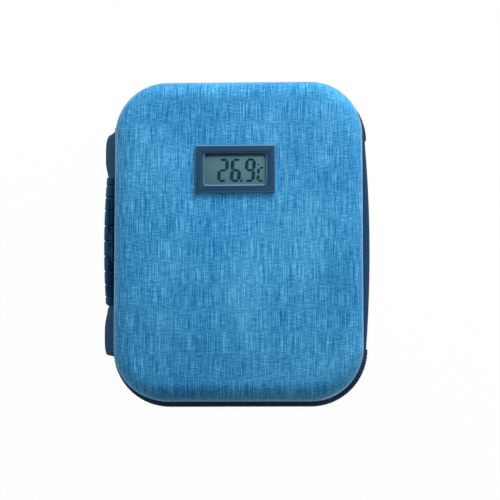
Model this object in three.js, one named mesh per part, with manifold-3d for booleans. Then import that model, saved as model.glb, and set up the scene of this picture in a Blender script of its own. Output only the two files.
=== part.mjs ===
// Insulin cooling case: two moulded shells covered in fabric, joined by a zip band and a spine
// gusset, with a webbing handle on one side and a small battery thermometer set in the lid.
// The case lies on its back. X runs across it, Y along it and Z up through its thickness, in
// millimetres. The origin is the centre of the flat back face.
import * as THREE from "three";
import { mergeVertices } from "three/addons/utils/BufferGeometryUtils.js";
import Module from "manifold-3d";

const wasm = await Module();
wasm.setup();

// Whole case
const caseLength = 200;
const caseWidth = 156.6;
const caseDepth = 80;
const bandCorner = 35;
const bandProud = 3;
const bandHeight = 18;
const bandMiddle = 42;
const shellWall = 3;
const frontEdge = 11;
const backEdge = 9;
const jointGap = 0.3;
const cutOverrun = 1;

// Lining and what the base holds
const foamThickness = 3.5;
const collarHeight = 14.6;
const icePackThickness = 15;
const icePackCorner = 12;
const icePackEdge = 4;
const icePackSpacing = 3;
const icePackSideGap = 5;
const icePackEndGap = 8;
const fillerCapRadius = 4.5;
const fillerCapLength = 4;
const dividerThickness = 3;
const dividerSlack = 0.6;
const penLoopHalfWidth = 9;
const penLoopHeight = 13;
const penLoopPitch = 28;
const penLoopCount = 4;
const penBandWidth = 20;
const penBandThickness = 1.2;
const penBandEnd = 8;
const penBandY = 45;

// Zip band: piping, tape and coil on each side of the zip line
const pipingRadius = 1.2;
const tapeProud = 1.6;
const tapeThickness = 1;
const coilThickness = 2.4;
const coilHeight = 2.4;
const coilGap = 2;

// Zip sliders and their pullers
const sliderLength = 9.2;
const sliderSpacing = 1.8;
const sliderSlack = 0.6;
const sliderPlate = 1.2;
const sliderWeb = 1;
const sliderOuterHeight = 8.2;
const sliderInnerReach = 3.4;
const lugReach = 3.7;
const lugWidth = 3.2;
const lugThickness = 1.2;
const pinRadius = 0.6;
const pinInset = 1.4;
const pullerEyeRadius = 1.7;
const pullerEyeHeight = 2.2;
const pullerPinSlack = 0.3;
const pullerNeck = 5;
const pullerLength = 24;
const pullerWidth = 7;
const pullerThickness = 1.6;

// Spine gusset
const gussetThickness = 1;
const gussetStandOff = 0.4;
const gussetBow = 2.5;
const gussetBowPower = 2;
const gussetBulge = 0.8;
const gussetEndGap = 1;
const spineLiningThickness = 1.4;
const spineLiningEndGap = 2;

// Side handle
const handleBelowRim = 13;
const handleOffset = 4.5;
const anchorPastCorner = 7.6;
const tabLength = 10.5;
const webbingWidth = 20;
const webbingThickness = 1.6;
const handleFingerGap = 4.6;
const gripLength = 80;
const gripEndThickness = 5.2;
const gripBow = 1.5;
const gripWidth = 24;
const gripCorner = 2.4;
const gripGrooveWidth = 1.4;
const gripGrooveDepth = 0.5;
const gripGrooveShares = [0.06, 0.155, 0.26, 0.38, 0.5, 0.62, 0.74, 0.845, 0.94];
const gripBoreSlack = 0.3;
const strapTuck = 0.25;
const strapLean = 2.7;
const leanFromGripShare = 0.4;
const leanToTabShare = 0.8;

// Thermometer module in the lid
const displayX = -1.3;
const displayY = 41.8;
const bezelWidth = 48;
const bezelHeight = 28.6;
const bezelThickness = 1.8;
const bezelCorner = 1.6;
const windowWidth = 36.8;
const windowHeight = 19;
const windowThickness = 1;
const windowRecess = 0.8;
const windowCorner = 1;
const windowStepSide = 2;
const windowStepEnd = 1.2;
const windowStepDepth = 0.6;
const housingWidth = 45;
const housingHeight = 25.6;
const housingDepth = 13.1;
const housingWall = 1.3;
const wingReach = 2.2;
const wingWidth = 8;
const wingDrop = 4;
const glassSlack = 0.7;
const glassThickness = 2;
const zebraLength = 34;
const zebraWidth = 2;
const zebraHeight = 2.3;
const boardThickness = 1.6;
const boardSlack = 0.3;
const contactLength = 8;
const contactWidth = 6;
const contactThickness = 0.4;
const cellRadius = 5.8;
const cellHeight = 5.4;
const cellSpacing = 1;
const batteryBaySlack = 0.7;
const doorLength = 30;
const doorThickness = 1.3;
const doorMargin = 1.3;
const doorGripDepth = 0.5;
const doorGripWidth = 1;
const doorGripCount = 3;
const doorGripPitch = 2.4;
const railWall = 1;
const railFoot = 0.8;
const railLip = 1.4;
const beadRadius = 1.7;
const beadLength = 7;
const beadShare = 0.36;

// Mesh pocket in the lid
const pocketThickness = 0.8;
const pocketTop = 14;
const pocketInset = 1.8;
const pocketBindingWidth = 5;
const pocketBindingThickness = 1.4;

// How finely curves are cut
const cornerSteps = 10;
const edgeSteps = 5;
const pipingSides = 8;
const smallRoundSteps = 4;
const circleSteps = 20;
const spineSteps = 12;
const bulgeSteps = 4;
const strapSteps = 18;
const loopSteps = 10;
const weldDistance = 1e-4;

// Places that follow from the sizes above
const shellHalfX = caseWidth / 2 - bandProud;
const shellHalfY = caseLength / 2 - bandProud;
const shellCorner = bandCorner - bandProud;
const cornerX = shellHalfX - shellCorner;
const cornerY = shellHalfY - shellCorner;
const baseRim = bandMiddle - bandHeight / 2;
const lidRim = bandMiddle + bandHeight / 2;
const foamInset = shellWall + jointGap;
const liningInset = foamInset + foamThickness;
const coilLow = bandMiddle - coilGap / 2 - coilHeight;
const coilHigh = coilLow + coilHeight;
const pipingHigh = baseRim + jointGap + 2 * pipingRadius;
const tapeLow = pipingHigh + jointGap;
const tapeHigh = coilLow - jointGap;

// Materials
function finish(color, roughness, metalness = 0) {
  return new THREE.MeshStandardMaterial({ color, roughness, metalness });
}
const heatheredFabric = finish(0x4191c3, 0.85);
const navyFabric = finish(0x2a4768, 0.8);
const darkWebbing = finish(0x1f3343, 0.75);
const ribbedGrip = finish(0x1d3347, 0.55);
const zipBlack = finish(0x1b2a3a, 0.5);
const sliderMetal = finish(0x23262b, 0.35, 0.8);
const foilFoam = finish(0xb9bec4, 0.3, 0.6);
const darkMesh = finish(0x222a33, 0.8);
const iceBlue = finish(0xbfdcef, 0.35);
const capWhite = finish(0xe8edf2, 0.4);
const bezelPlastic = finish(0x294c6b, 0.35);
const clearWindow = finish(0xaec3c6, 0.08);
const lcdGlass = finish(0x4f7582, 0.15);
const blackPlastic = finish(0x17191c, 0.45);
const conductiveRubber = finish(0x2b2b2b, 0.9);
const boardGreen = finish(0x2f6b46, 0.5);
const cellSteel = finish(0xc9ccd0, 0.25, 0.9);
const springBrass = finish(0xb99a55, 0.3, 0.9);
const beadEpoxy = finish(0x1c1c1e, 0.3);

// Solid geometry helpers

// A closed solid through a row of sections with the same number of points. Both ends are
// capped in the plane of the two named coordinates, or the last section joins the first.
function loft(sections, capU = null, capV = null) {
  const count = sections[0].length;
  const positions = sections.flat().flatMap((p) => [p.x, p.y, p.z]);
  const triangles = [];
  const rows = capU ? sections.length - 1 : sections.length;
  for (let row = 0; row < rows; row++) {
    const low = row * count;
    const high = ((row + 1) % sections.length) * count;
    for (let i = 0; i < count; i++) {
      const next = (i + 1) % count;
      triangles.push(low + i, low + next, high + next, low + i, high + next, high + i);
    }
  }
  if (capU) {
    const start = capTriangles(sections[0], capU, capV);
    const end = capTriangles(sections.at(-1), capU, capV);
    const offset = (sections.length - 1) * count;
    start.forEach(([a, b, c]) => triangles.push(a, c, b));
    end.forEach(([a, b, c]) => triangles.push(offset + a, offset + b, offset + c));
  }
  const geometry = new THREE.BufferGeometry();
  geometry.setAttribute("position", new THREE.Float32BufferAttribute(positions, 3));
  geometry.setIndex(triangles);
  return faceOut(geometry);
}

// The triangles of a flat outline, each wound the way that the outline runs
function capTriangles(points, u, v) {
  const flat = points.map((p) => new THREE.Vector2(p[u], p[v]));
  const way = Math.sign(THREE.ShapeUtils.area(flat));
  return THREE.ShapeUtils.triangulateShape(flat, []).map(([a, b, c]) => {
    const turn = Math.sign(THREE.ShapeUtils.area([flat[a], flat[b], flat[c]]));
    return turn === way ? [a, b, c] : [a, c, b];
  });
}

// Turns every face round if the geometry encloses a negative volume
function faceOut(geometry) {
  const index = geometry.index.array;
  const place = geometry.getAttribute("position");
  const corner = [0, 1, 2].map(() => new THREE.Vector3());
  let volume = 0;
  for (let i = 0; i < index.length; i += 3) {
    corner.forEach((p, k) => p.fromBufferAttribute(place, index[i + k]));
    volume += corner[0].dot(corner[1].clone().cross(corner[2]));
  }
  if (volume < 0) {
    for (let i = 0; i < index.length; i += 3) {
      [index[i + 1], index[i + 2]] = [index[i + 2], index[i + 1]];
    }
  }
  return geometry;
}

function toSolid(geometry) {
  const loose = geometry.index ? geometry.toNonIndexed() : geometry;
  const bare = new THREE.BufferGeometry();
  bare.setAttribute("position", loose.getAttribute("position"));
  const merged = mergeVertices(bare, weldDistance);
  const vertProperties = merged.getAttribute("position").array;
  const triVerts = new Uint32Array(merged.index.array);
  return new wasm.Manifold(new wasm.Mesh({ numProp: 3, vertProperties, triVerts }));
}

function fromSolid(solid) {
  const mesh = solid.getMesh();
  const geometry = new THREE.BufferGeometry();
  const positions = new Float32Array(mesh.vertProperties);
  geometry.setAttribute("position", new THREE.BufferAttribute(positions, 3));
  geometry.setIndex(new THREE.BufferAttribute(new Uint32Array(mesh.triVerts), 1));
  return geometry;
}

function cut(body, ...tools) {
  return fromSolid(tools.reduce((left, tool) => left.subtract(toSolid(tool)), toSolid(body)));
}

function join(body, ...others) {
  return fromSolid(others.reduce((sum, other) => sum.add(toSolid(other)), toSolid(body)));
}

function boxBetween(x, y, z) {
  const box = new THREE.BoxGeometry(x[1] - x[0], y[1] - y[0], z[1] - z[0]);
  return box.translate((x[0] + x[1]) / 2, (y[0] + y[1]) / 2, (z[0] + z[1]) / 2);
}

// A plate with rounded corners, centred on Z, between two heights
function roundedPlate(width, length, radius, low, high) {
  const halfX = width / 2 - radius;
  const halfY = length / 2 - radius;
  const shape = new THREE.Shape();
  shape.absarc(halfX, halfY, radius, 0, Math.PI / 2);
  shape.absarc(-halfX, halfY, radius, Math.PI / 2, Math.PI);
  shape.absarc(-halfX, -halfY, radius, Math.PI, Math.PI * 1.5);
  shape.absarc(halfX, -halfY, radius, Math.PI * 1.5, Math.PI * 2);
  return extrude(shape, low, high);
}

function extrude(shape, low, high) {
  const settings = { depth: high - low, bevelEnabled: false, curveSegments: smallRoundSteps };
  return new THREE.ExtrudeGeometry(shape, settings).translate(0, 0, low);
}

// A round bar along Z
function bar(radius, low, high) {
  const cylinder = new THREE.CylinderGeometry(radius, radius, high - low, circleSteps);
  return cylinder.rotateX(Math.PI / 2).translate(0, 0, (low + high) / 2);
}

// Outlines of the case

// The case in plan, grown by offset: four corners and straight sides, from the top end of the
// spine side round to its foot end. The zip runs along it, and the spine side closes it.
function outline(offset) {
  const radius = shellCorner + offset;
  const points = [];
  for (let corner = 0; corner < 4; corner++) {
    const sideX = corner === 0 || corner === 3 ? 1 : -1;
    const sideY = corner < 2 ? 1 : -1;
    for (let step = 0; step <= cornerSteps; step++) {
      const angle = ((corner + step / cornerSteps) * Math.PI) / 2;
      const x = sideX * cornerX + radius * Math.cos(angle);
      points.push(new THREE.Vector2(x, sideY * cornerY + radius * Math.sin(angle)));
    }
  }
  return points;
}

function outlineAt(offset, z) {
  return outline(offset).map((p) => new THREE.Vector3(p.x, p.y, z));
}

// A quarter round in from the outline and up from a floor, as offset and height pairs
function edgeRound(outer, floor, radius) {
  return Array.from({ length: edgeSteps + 1 }, (_, step) => {
    const angle = ((step / edgeSteps) * Math.PI) / 2;
    const offset = outer - radius * (1 - Math.sin(angle));
    return [offset, floor + radius * (1 - Math.cos(angle))];
  });
}

// An open tray that follows the case's outline, with a rounded edge under its wall
function tray(inset, floor, rim, edge, wall) {
  const innerEdge = Math.max(edge - wall, jointGap);
  const outside = edgeRound(-inset, floor, edge);
  const inside = edgeRound(-inset - wall, floor + wall, innerEdge).reverse();
  const profile = [...outside, [-inset, rim], [-inset - wall, rim], ...inside];
  return loft(profile.map(([offset, z]) => outlineAt(offset, z)), "x", "y");
}

// What is built like the base, mirrored through its height so that it serves as the lid
function mirrored(geometry, middle) {
  const place = geometry.getAttribute("position");
  for (let i = 0; i < place.count; i++) place.setZ(i, 2 * middle - place.getZ(i));
  if (!geometry.index) {
    geometry.setIndex(Array.from({ length: place.count }, (_, i) => i));
  }
  return faceOut(geometry);
}

// A bead of round section all the way round the case
function beadRing(offset, middle, radius) {
  const sections = Array.from({ length: pipingSides }, (_, side) => {
    const angle = (side / pipingSides) * Math.PI * 2;
    return outlineAt(offset + radius * Math.cos(angle), middle + radius * Math.sin(angle));
  });
  return loft(sections);
}

// A strip along the zip's run, round three sides and four corners of the case
function zipStrip(outer, thickness, low, high) {
  const points = [...outline(outer), ...outline(outer - thickness).reverse()];
  return extrude(new THREE.Shape(points), low, high);
}

const insulinCase = new THREE.Group();

function add(group, name, geometry, material) {
  const mesh = new THREE.Mesh(geometry, material);
  mesh.name = name;
  group.add(mesh);
  return mesh;
}

function addGroup(parent, x, y, z) {
  const group = new THREE.Group();
  group.position.set(x, y, z);
  parent.add(group);
  return group;
}

// Base shell with its foam lining, which stands up past the rim as a collar behind the zip
const base = addGroup(insulinCase, 0, 0, 0);
add(base, "base_shell", tray(0, 0, baseRim, backEdge, shellWall), heatheredFabric);
const collarRim = baseRim + collarHeight;
const baseFoam = tray(foamInset, foamInset, collarRim, backEdge - foamInset, foamThickness);
add(base, "base_insulation", baseFoam, foilFoam);

// One side of the zip band, from the rim towards the zip line
function zipSide(prefix, turn) {
  const piping = beadRing(0, baseRim + jointGap + pipingRadius, pipingRadius);
  const tape = zipStrip(tapeProud, tapeThickness, tapeLow, tapeHigh);
  const coil = zipStrip(bandProud, coilThickness, coilLow, coilHigh);
  const parts = { piping, zip_tape: tape, zip_coil: coil };
  return Object.entries(parts).map(([name, part]) => [`${prefix}_${name}`, turn(part)]);
}
const bandFinish = { piping: navyFabric, zip_tape: navyFabric, zip_coil: zipBlack };
function addZipSide(group, prefix, turn) {
  for (const [name, geometry] of zipSide(prefix, turn)) {
    add(group, name, geometry, bandFinish[name.slice(prefix.length + 1)]);
  }
}
addZipSide(base, "base", (part) => part);

// Ice packs side by side on the base lining, each with a filler cap at its top end
const icePackLow = liningInset + jointGap;
const icePackHigh = icePackLow + icePackThickness;
const icePackRight = shellHalfX - liningInset - icePackSideGap;
const icePackWidth = icePackRight - icePackSpacing / 2;
const icePackLength = 2 * (shellHalfY - liningInset - icePackEndGap);
const icePackX = (icePackWidth + icePackSpacing) / 2;
function icePack() {
  const profile = edgeRound(0, icePackLow, icePackEdge);
  const top = profile.map(([inset, z]) => [inset, icePackHigh + icePackLow - z]).reverse();
  const ring = ([inset, z]) => {
    const radius = icePackCorner + inset;
    const halfX = icePackWidth / 2 - icePackCorner;
    const halfY = icePackLength / 2 - icePackCorner;
    return roundedRing(halfX, halfY, radius).map((p) => new THREE.Vector3(p.x, p.y, z));
  };
  return loft([...profile, ...top].map(ring), "x", "y");
}
// The points of a rounded rectangle whose corner centres stand at the given half spans
function roundedRing(halfX, halfY, radius) {
  const points = [];
  for (let corner = 0; corner < 4; corner++) {
    const sideX = corner === 0 || corner === 3 ? 1 : -1;
    const sideY = corner < 2 ? 1 : -1;
    for (let step = 0; step <= smallRoundSteps; step++) {
      const angle = ((corner + step / smallRoundSteps) * Math.PI) / 2;
      const x = sideX * halfX + radius * Math.cos(angle);
      points.push(new THREE.Vector2(x, sideY * halfY + radius * Math.sin(angle)));
    }
  }
  return points;
}
for (const [side, sign] of [["left", -1], ["right", 1]]) {
  const place = addGroup(base, sign * icePackX, 0, 0);
  add(place, `ice_pack_${side}`, icePack(), iceBlue);
  const cap = bar(fillerCapRadius, 0, fillerCapLength).rotateX(-Math.PI / 2);
  cap.translate(0, icePackLength / 2 + jointGap, icePackLow + icePackThickness / 2);
  add(place, `ice_pack_cap_${side}`, cap, capWhite);
}

// Divider board over the ice packs, with two elastic bands that hold pens side by side
const dividerLow = icePackHigh + jointGap;
const dividerHigh = dividerLow + dividerThickness;
const dividerOutline = outline(-liningInset - dividerSlack);
const dividerBoard = extrude(new THREE.Shape(dividerOutline), dividerLow, dividerHigh);
add(base, "divider_board", dividerBoard, foilFoam);

// An elastic band: flat where it is sewn down and arched over each pen
function penBand() {
  const low = dividerHigh + jointGap;
  const span = ((penLoopCount - 1) * penLoopPitch) / 2;
  const end = span + penLoopHalfWidth + penBandEnd;
  const lift = Math.asin(penBandThickness / (penLoopHeight + penBandThickness));
  const under = [[-end, 0]];
  const over = [[-end, penBandThickness]];
  for (let loop = 0; loop < penLoopCount; loop++) {
    const middle = loop * penLoopPitch - span;
    for (let step = 0; step <= loopSteps; step++) {
      const share = step / loopSteps;
      const inner = Math.PI * (1 - share);
      const outer = Math.PI - lift - (Math.PI - 2 * lift) * share;
      const wide = penLoopHalfWidth + penBandThickness;
      const tall = penLoopHeight + penBandThickness;
      const low = share === 0 || share === 1 ? 0 : penLoopHeight * Math.sin(inner);
      under.push([middle + penLoopHalfWidth * Math.cos(inner), low]);
      over.push([middle + wide * Math.cos(outer), tall * Math.sin(outer)]);
    }
  }
  under.push([end, 0]);
  over.push([end, penBandThickness]);
  const points = [...under, ...over.reverse()].map(([x, z]) => new THREE.Vector2(x, z));
  const band = extrude(new THREE.Shape(points), -penBandWidth / 2, penBandWidth / 2);
  return band.rotateX(Math.PI / 2).translate(0, 0, low);
}
for (const [end, sign] of [["upper", 1], ["lower", -1]]) {
  add(addGroup(base, 0, sign * penBandY, 0), `pen_band_${end}`, penBand(), darkWebbing);
}

// Handle: webbing sewn to the base's side near two corners, through a ribbed grip
const handle = addGroup(insulinCase, 0, 0, baseRim - handleBelowRim);
const gripX = -(shellHalfX + handleFingerGap + gripEndThickness / 2);
const gripHalf = gripLength / 2;
const webbingInset = jointGap + webbingThickness / 2;

// A point on the sewn webbing's middle line, round a left corner by an angle from the side
function onCorner(angle, radius = shellCorner + webbingInset) {
  const x = -cornerX - radius * Math.cos(angle);
  return new THREE.Vector2(x, cornerY + radius * Math.sin(angle));
}
// The angle at which an end of the sewn webbing lies, the handle being off the middle
function anchorAngle(sign) {
  return Math.asin((anchorPastCorner + sign * handleOffset) / (shellCorner + webbingInset));
}

function webbingAlong(points, sign) {
  const curve = new THREE.CatmullRomCurve3(points.map((p) => new THREE.Vector3(p.x, p.y, 0)));
  const out = [];
  const back = [];
  for (let step = 0; step <= strapSteps; step++) {
    const place = curve.getPoint(step / strapSteps);
    const run = curve.getTangent(step / strapSteps);
    const across = new THREE.Vector2(-run.y, run.x).multiplyScalar(webbingThickness / 2);
    out.push(new THREE.Vector2(place.x + across.x, sign * (place.y + across.y)));
    back.unshift(new THREE.Vector2(place.x - across.x, sign * (place.y - across.y)));
  }
  return extrude(new THREE.Shape([...out, ...back]), -webbingWidth / 2, webbingWidth / 2);
}

// The free strap leaves the sewn end, arches out as far as the grip and runs into the grip's
// end. Each pair is a share of the way out to the arch, and of the way up from the grip.
const strapShares = [[0, 1], [0.1, 0.955], [0.62, 0.84], [1, 0.68], [1.02, 0.4], [1.01, 0.14]];
function strapEnd(sign) {
  return gripHalf + sign * handleOffset + jointGap;
}
function strapPoints(sign) {
  const startAngle = anchorAngle(sign) - (2 * jointGap) / (shellCorner + webbingInset);
  const start = onCorner(startAngle);
  const arch = gripX + strapTuck;
  const low = strapEnd(sign);
  const points = strapShares.map(([out, up]) => {
    return new THREE.Vector2(start.x + (arch - start.x) * out, low + (start.y - low) * up);
  });
  return [...points, new THREE.Vector2(gripX, low)];
}

// The free strap leans over between its ends, its lower edge the further out
function leanOver(strap, sign) {
  const place = strap.getAttribute("position");
  const low = strapEnd(sign);
  const high = strapPoints(sign)[0].y;
  for (let i = 0; i < place.count; i++) {
    const share = (sign * place.getY(i) - low) / (high - low);
    const fromGrip = THREE.MathUtils.smoothstep(share, 0, leanFromGripShare);
    const toTab = 1 - THREE.MathUtils.smoothstep(share, leanToTabShare, 1);
    const lean = (strapLean * fromGrip * toTab * place.getZ(i)) / (webbingWidth / 2);
    place.setX(i, place.getX(i) + lean);
  }
  return strap;
}

function gripRows() {
  const rows = [[-gripHalf, gripGrooveDepth], [-gripHalf + gripGrooveDepth, 0]];
  for (const share of gripGrooveShares) {
    const middle = gripLength * share - gripHalf;
    rows.push([middle - gripGrooveWidth / 2, 0]);
    rows.push([middle - gripGrooveWidth / 4, gripGrooveDepth]);
    rows.push([middle + gripGrooveWidth / 4, gripGrooveDepth]);
    rows.push([middle + gripGrooveWidth / 2, 0]);
  }
  rows.push([gripHalf - gripGrooveDepth, 0], [gripHalf, gripGrooveDepth]);
  return rows;
}
function grip() {
  const sections = gripRows().map(([y, depth]) => {
    const bow = gripBow * (1 - (y / gripHalf) ** 2);
    const halfX = (gripEndThickness + bow) / 2 - gripCorner;
    const halfZ = gripWidth / 2 - gripCorner;
    const ring = roundedRing(halfX, halfZ, gripCorner - depth);
    return ring.map((p) => new THREE.Vector3(p.x - bow / 2, y, p.y));
  });
  const wide = webbingWidth / 2 + gripBoreSlack;
  const thick = webbingThickness / 2 + gripBoreSlack;
  const long = gripHalf + cutOverrun;
  return cut(loft(sections, "x", "z"), boxBetween([-thick, thick], [-long, long], [-wide, wide]));
}
const gripPlace = addGroup(handle, gripX, handleOffset, 0);
add(gripPlace, "handle_grip", grip(), ribbedGrip);
const coreX = [-webbingThickness / 2, webbingThickness / 2];
const coreZ = [-webbingWidth / 2, webbingWidth / 2];
add(gripPlace, "handle_core", boxBetween(coreX, [-gripHalf, gripHalf], coreZ), darkWebbing);
for (const [end, sign] of [["upper", 1], ["lower", -1]]) {
  const tabSteps = Array.from({ length: smallRoundSteps + 1 }, (_, step) => step / smallRoundSteps);
  const tabSpan = tabLength / (shellCorner + webbingInset);
  const tabAngles = tabSteps.map((share) => anchorAngle(sign) + tabSpan * share);
  const tabInner = tabAngles.map((angle) => onCorner(angle, shellCorner + jointGap));
  const tabOuterRadius = shellCorner + jointGap + webbingThickness;
  const tabOuter = tabAngles.map((angle) => onCorner(angle, tabOuterRadius)).reverse();
  const tabPoints = [...tabInner, ...tabOuter].map((p) => new THREE.Vector2(p.x, sign * p.y));
  const tab = extrude(new THREE.Shape(tabPoints), -webbingWidth / 2, webbingWidth / 2);
  add(handle, `handle_tab_${end}`, tab, darkWebbing);
  const strap = leanOver(webbingAlong(strapPoints(sign), sign), sign);
  add(handle, `handle_strap_${end}`, strap, darkWebbing);
}

// Zip sliders, meeting in the middle of the handle side. Each hooks over the base's coil from
// outside, through the gap at the zip line, so that the lid's coil lifts clear of it.
const pinX = -sliderSlack - sliderPlate - lugReach + pinInset;
function zipSlider() {
  const outer = [-sliderSlack - sliderPlate, -sliderSlack];
  const inner = [coilThickness + sliderSlack, coilThickness + sliderSlack + sliderPlate];
  const along = [-sliderLength / 2, sliderLength / 2];
  const webZ = [-sliderWeb / 2, sliderWeb / 2];
  const outerPlate = boxBetween(outer, along, [-sliderOuterHeight / 2, sliderOuterHeight / 2]);
  const web = boxBetween([outer[0], inner[1]], along, webZ);
  const innerPlate = boxBetween(inner, along, [-sliderWeb / 2 - sliderInnerReach, webZ[1]]);
  const lugLow = pullerEyeHeight / 2 + jointGap;
  const lugX = [outer[0] - lugReach, outer[1]];
  const lugY = [-lugWidth / 2, lugWidth / 2];
  const lugTop = boxBetween(lugX, lugY, [lugLow, lugLow + lugThickness]);
  const lugFoot = boxBetween(lugX, lugY, [-lugLow - lugThickness, -lugLow]);
  const pin = bar(pinRadius, -lugLow - lugThickness / 2, lugLow + lugThickness / 2);
  return join(outerPlate, web, innerPlate, lugTop, lugFoot, pin.translate(pinX, 0, 0));
}
// A puller that lies along +Y from its eye
function zipPuller() {
  const eye = bar(pullerEyeRadius, -pullerEyeHeight / 2, pullerEyeHeight / 2);
  const neckX = [-pullerThickness / 2, pullerThickness / 2];
  const neckZ = [-pullerEyeHeight / 2, pullerEyeHeight / 2];
  const neck = boxBetween(neckX, [0, pullerNeck + cutOverrun], neckZ);
  const tabLength = pullerLength - pullerNeck;
  const rounding = pullerWidth / 4;
  const tab = roundedPlate(pullerWidth, tabLength, rounding, neckX[0], neckX[1]);
  tab.rotateY(Math.PI / 2).translate(0, pullerNeck + tabLength / 2, 0);
  const hole = bar(pinRadius + pullerPinSlack, -pullerEyeHeight, pullerEyeHeight);
  return cut(join(eye, neck, tab), hole);
}
const sliderY = (sliderLength + sliderSpacing) / 2;
for (const [end, sign] of [["upper", 1], ["lower", -1]]) {
  const slider = addGroup(insulinCase, -caseWidth / 2, sign * sliderY, bandMiddle);
  add(slider, `zip_slider_${end}`, zipSlider(), sliderMetal);
  const puller = add(slider, `zip_puller_${end}`, zipPuller(), zipBlack);
  puller.position.set(pinX, 0, 0);
  puller.rotation.z = sign > 0 ? 0 : Math.PI;
}

// Spine: an outer fabric gusset that bows out between the rims, and a lining strip behind it
const spine = addGroup(insulinCase, 0, 0, bandMiddle);
const gussetHalfLength = cornerY - gussetEndGap;
const gussetHalfHeight = bandHeight / 2 - 2 * pipingRadius - 2 * jointGap;

// A leaf whose long edges stay beside the rims while it bulges out between them, furthest at
// the middle of the spine side
function spineLeaf(standOff, thickness, halfLength, halfHeight) {
  const sections = [];
  for (let step = 0; step <= spineSteps; step++) {
    const y = halfLength * ((2 * step) / spineSteps - 1);
    const bow = gussetBow * (1 - Math.abs(y / gussetHalfLength) ** gussetBowPower);
    const reach = gussetBulge + bow;
    const outside = [];
    const inside = [];
    for (let row = 0; row <= bulgeSteps; row++) {
      const up = (2 * row) / bulgeSteps - 1;
      const x = shellHalfX + standOff + reach * (1 - up * up);
      inside.unshift(new THREE.Vector3(x, y, up * halfHeight));
      outside.push(new THREE.Vector3(x + thickness, y, up * halfHeight));
    }
    sections.push([...outside, ...inside]);
  }
  return loft(sections, "x", "z");
}
const gusset = spineLeaf(
  gussetStandOff,
  gussetThickness,
  gussetHalfLength,
  gussetHalfHeight,
);
add(spine, "spine_gusset", gusset, navyFabric);
const spineLining = spineLeaf(
  gussetStandOff - jointGap - spineLiningThickness,
  spineLiningThickness,
  gussetHalfLength - spineLiningEndGap,
  gussetHalfHeight - jointGap,
);
add(spine, "spine_lining", spineLining, foilFoam);

// Lid shell with its lining, both cut out for the thermometer
const lid = addGroup(insulinCase, 0, 0, 0);
const lidHeight = caseDepth - lidRim;
function displayCutOut(width, height, low, high) {
  const x = [displayX - width / 2, displayX + width / 2];
  return boxBetween(x, [displayY - height / 2, displayY + height / 2], [low, high]);
}
const cutOutWidth = housingWidth + 2 * jointGap;
const cutOutHeight = housingHeight + 2 * jointGap;
const lidTray = mirrored(tray(0, 0, lidHeight, frontEdge, shellWall), caseDepth / 2);
const lidHole = displayCutOut(cutOutWidth, cutOutHeight, bandMiddle, caseDepth + cutOverrun);
add(lid, "lid_shell", cut(lidTray, lidHole), heatheredFabric);
const lidFoamEdge = frontEdge - foamInset;
const lidFoamTray = tray(foamInset, foamInset, lidHeight, lidFoamEdge, foamThickness);
const lidFoam = mirrored(lidFoamTray, caseDepth / 2);
const foamHoleWidth = housingWidth + 2 * (wingReach + jointGap);
const foamHole = displayCutOut(foamHoleWidth, cutOutHeight, bandMiddle, caseDepth);
add(lid, "lid_insulation", cut(lidFoam, foamHole), foilFoam);
addZipSide(lid, "lid", (part) => mirrored(part, bandMiddle));

// Mesh pocket across the lower part of the lid, with an elastic binding along its mouth
const pocketHigh = lidRim - jointGap;
const pocketLow = pocketHigh - pocketThickness;
const pocketOutline = outline(-pocketInset);
const pocketBlank = extrude(new THREE.Shape(pocketOutline), pocketLow, pocketHigh);
const pocketWaste = boxBetween(
  [-caseWidth / 2, caseWidth / 2],
  [pocketTop, caseLength / 2],
  [pocketLow - cutOverrun, pocketHigh + cutOverrun],
);
add(lid, "mesh_pocket", cut(pocketBlank, pocketWaste), darkMesh);
const bindingHalf = shellHalfX - pocketInset;
const bindingY = [pocketTop + jointGap, pocketTop + jointGap + pocketBindingWidth];
const bindingZ = [pocketHigh - pocketBindingThickness, pocketHigh];
const pocketBinding = boxBetween([-bindingHalf, bindingHalf], bindingY, bindingZ);
add(lid, "mesh_pocket_binding", pocketBinding, darkWebbing);

// Thermometer module. Its own frame has Z at zero on the lid's front face.
const thermometer = addGroup(lid, displayX, displayY, caseDepth);
const bezelHigh = jointGap + bezelThickness;
const bezelPlate = roundedPlate(bezelWidth, bezelHeight, bezelCorner, jointGap, bezelHigh);
const windowHole = roundedPlate(
  windowWidth + 2 * jointGap,
  windowHeight + 2 * jointGap,
  windowCorner + jointGap,
  -cutOverrun,
  bezelHigh + cutOverrun,
);
const windowStep = roundedPlate(
  windowWidth + 2 * windowStepSide,
  windowHeight + 2 * windowStepEnd,
  windowCorner + windowStepEnd,
  bezelHigh - windowStepDepth,
  bezelHigh + cutOverrun,
);
add(thermometer, "display_bezel", cut(bezelPlate, windowHole, windowStep), bezelPlastic);
const windowHigh = bezelHigh - windowRecess;
const windowLow = windowHigh - windowThickness;
const windowPane = roundedPlate(windowWidth, windowHeight, windowCorner, windowLow, windowHigh);
add(thermometer, "display_window", windowPane, clearWindow);

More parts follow.
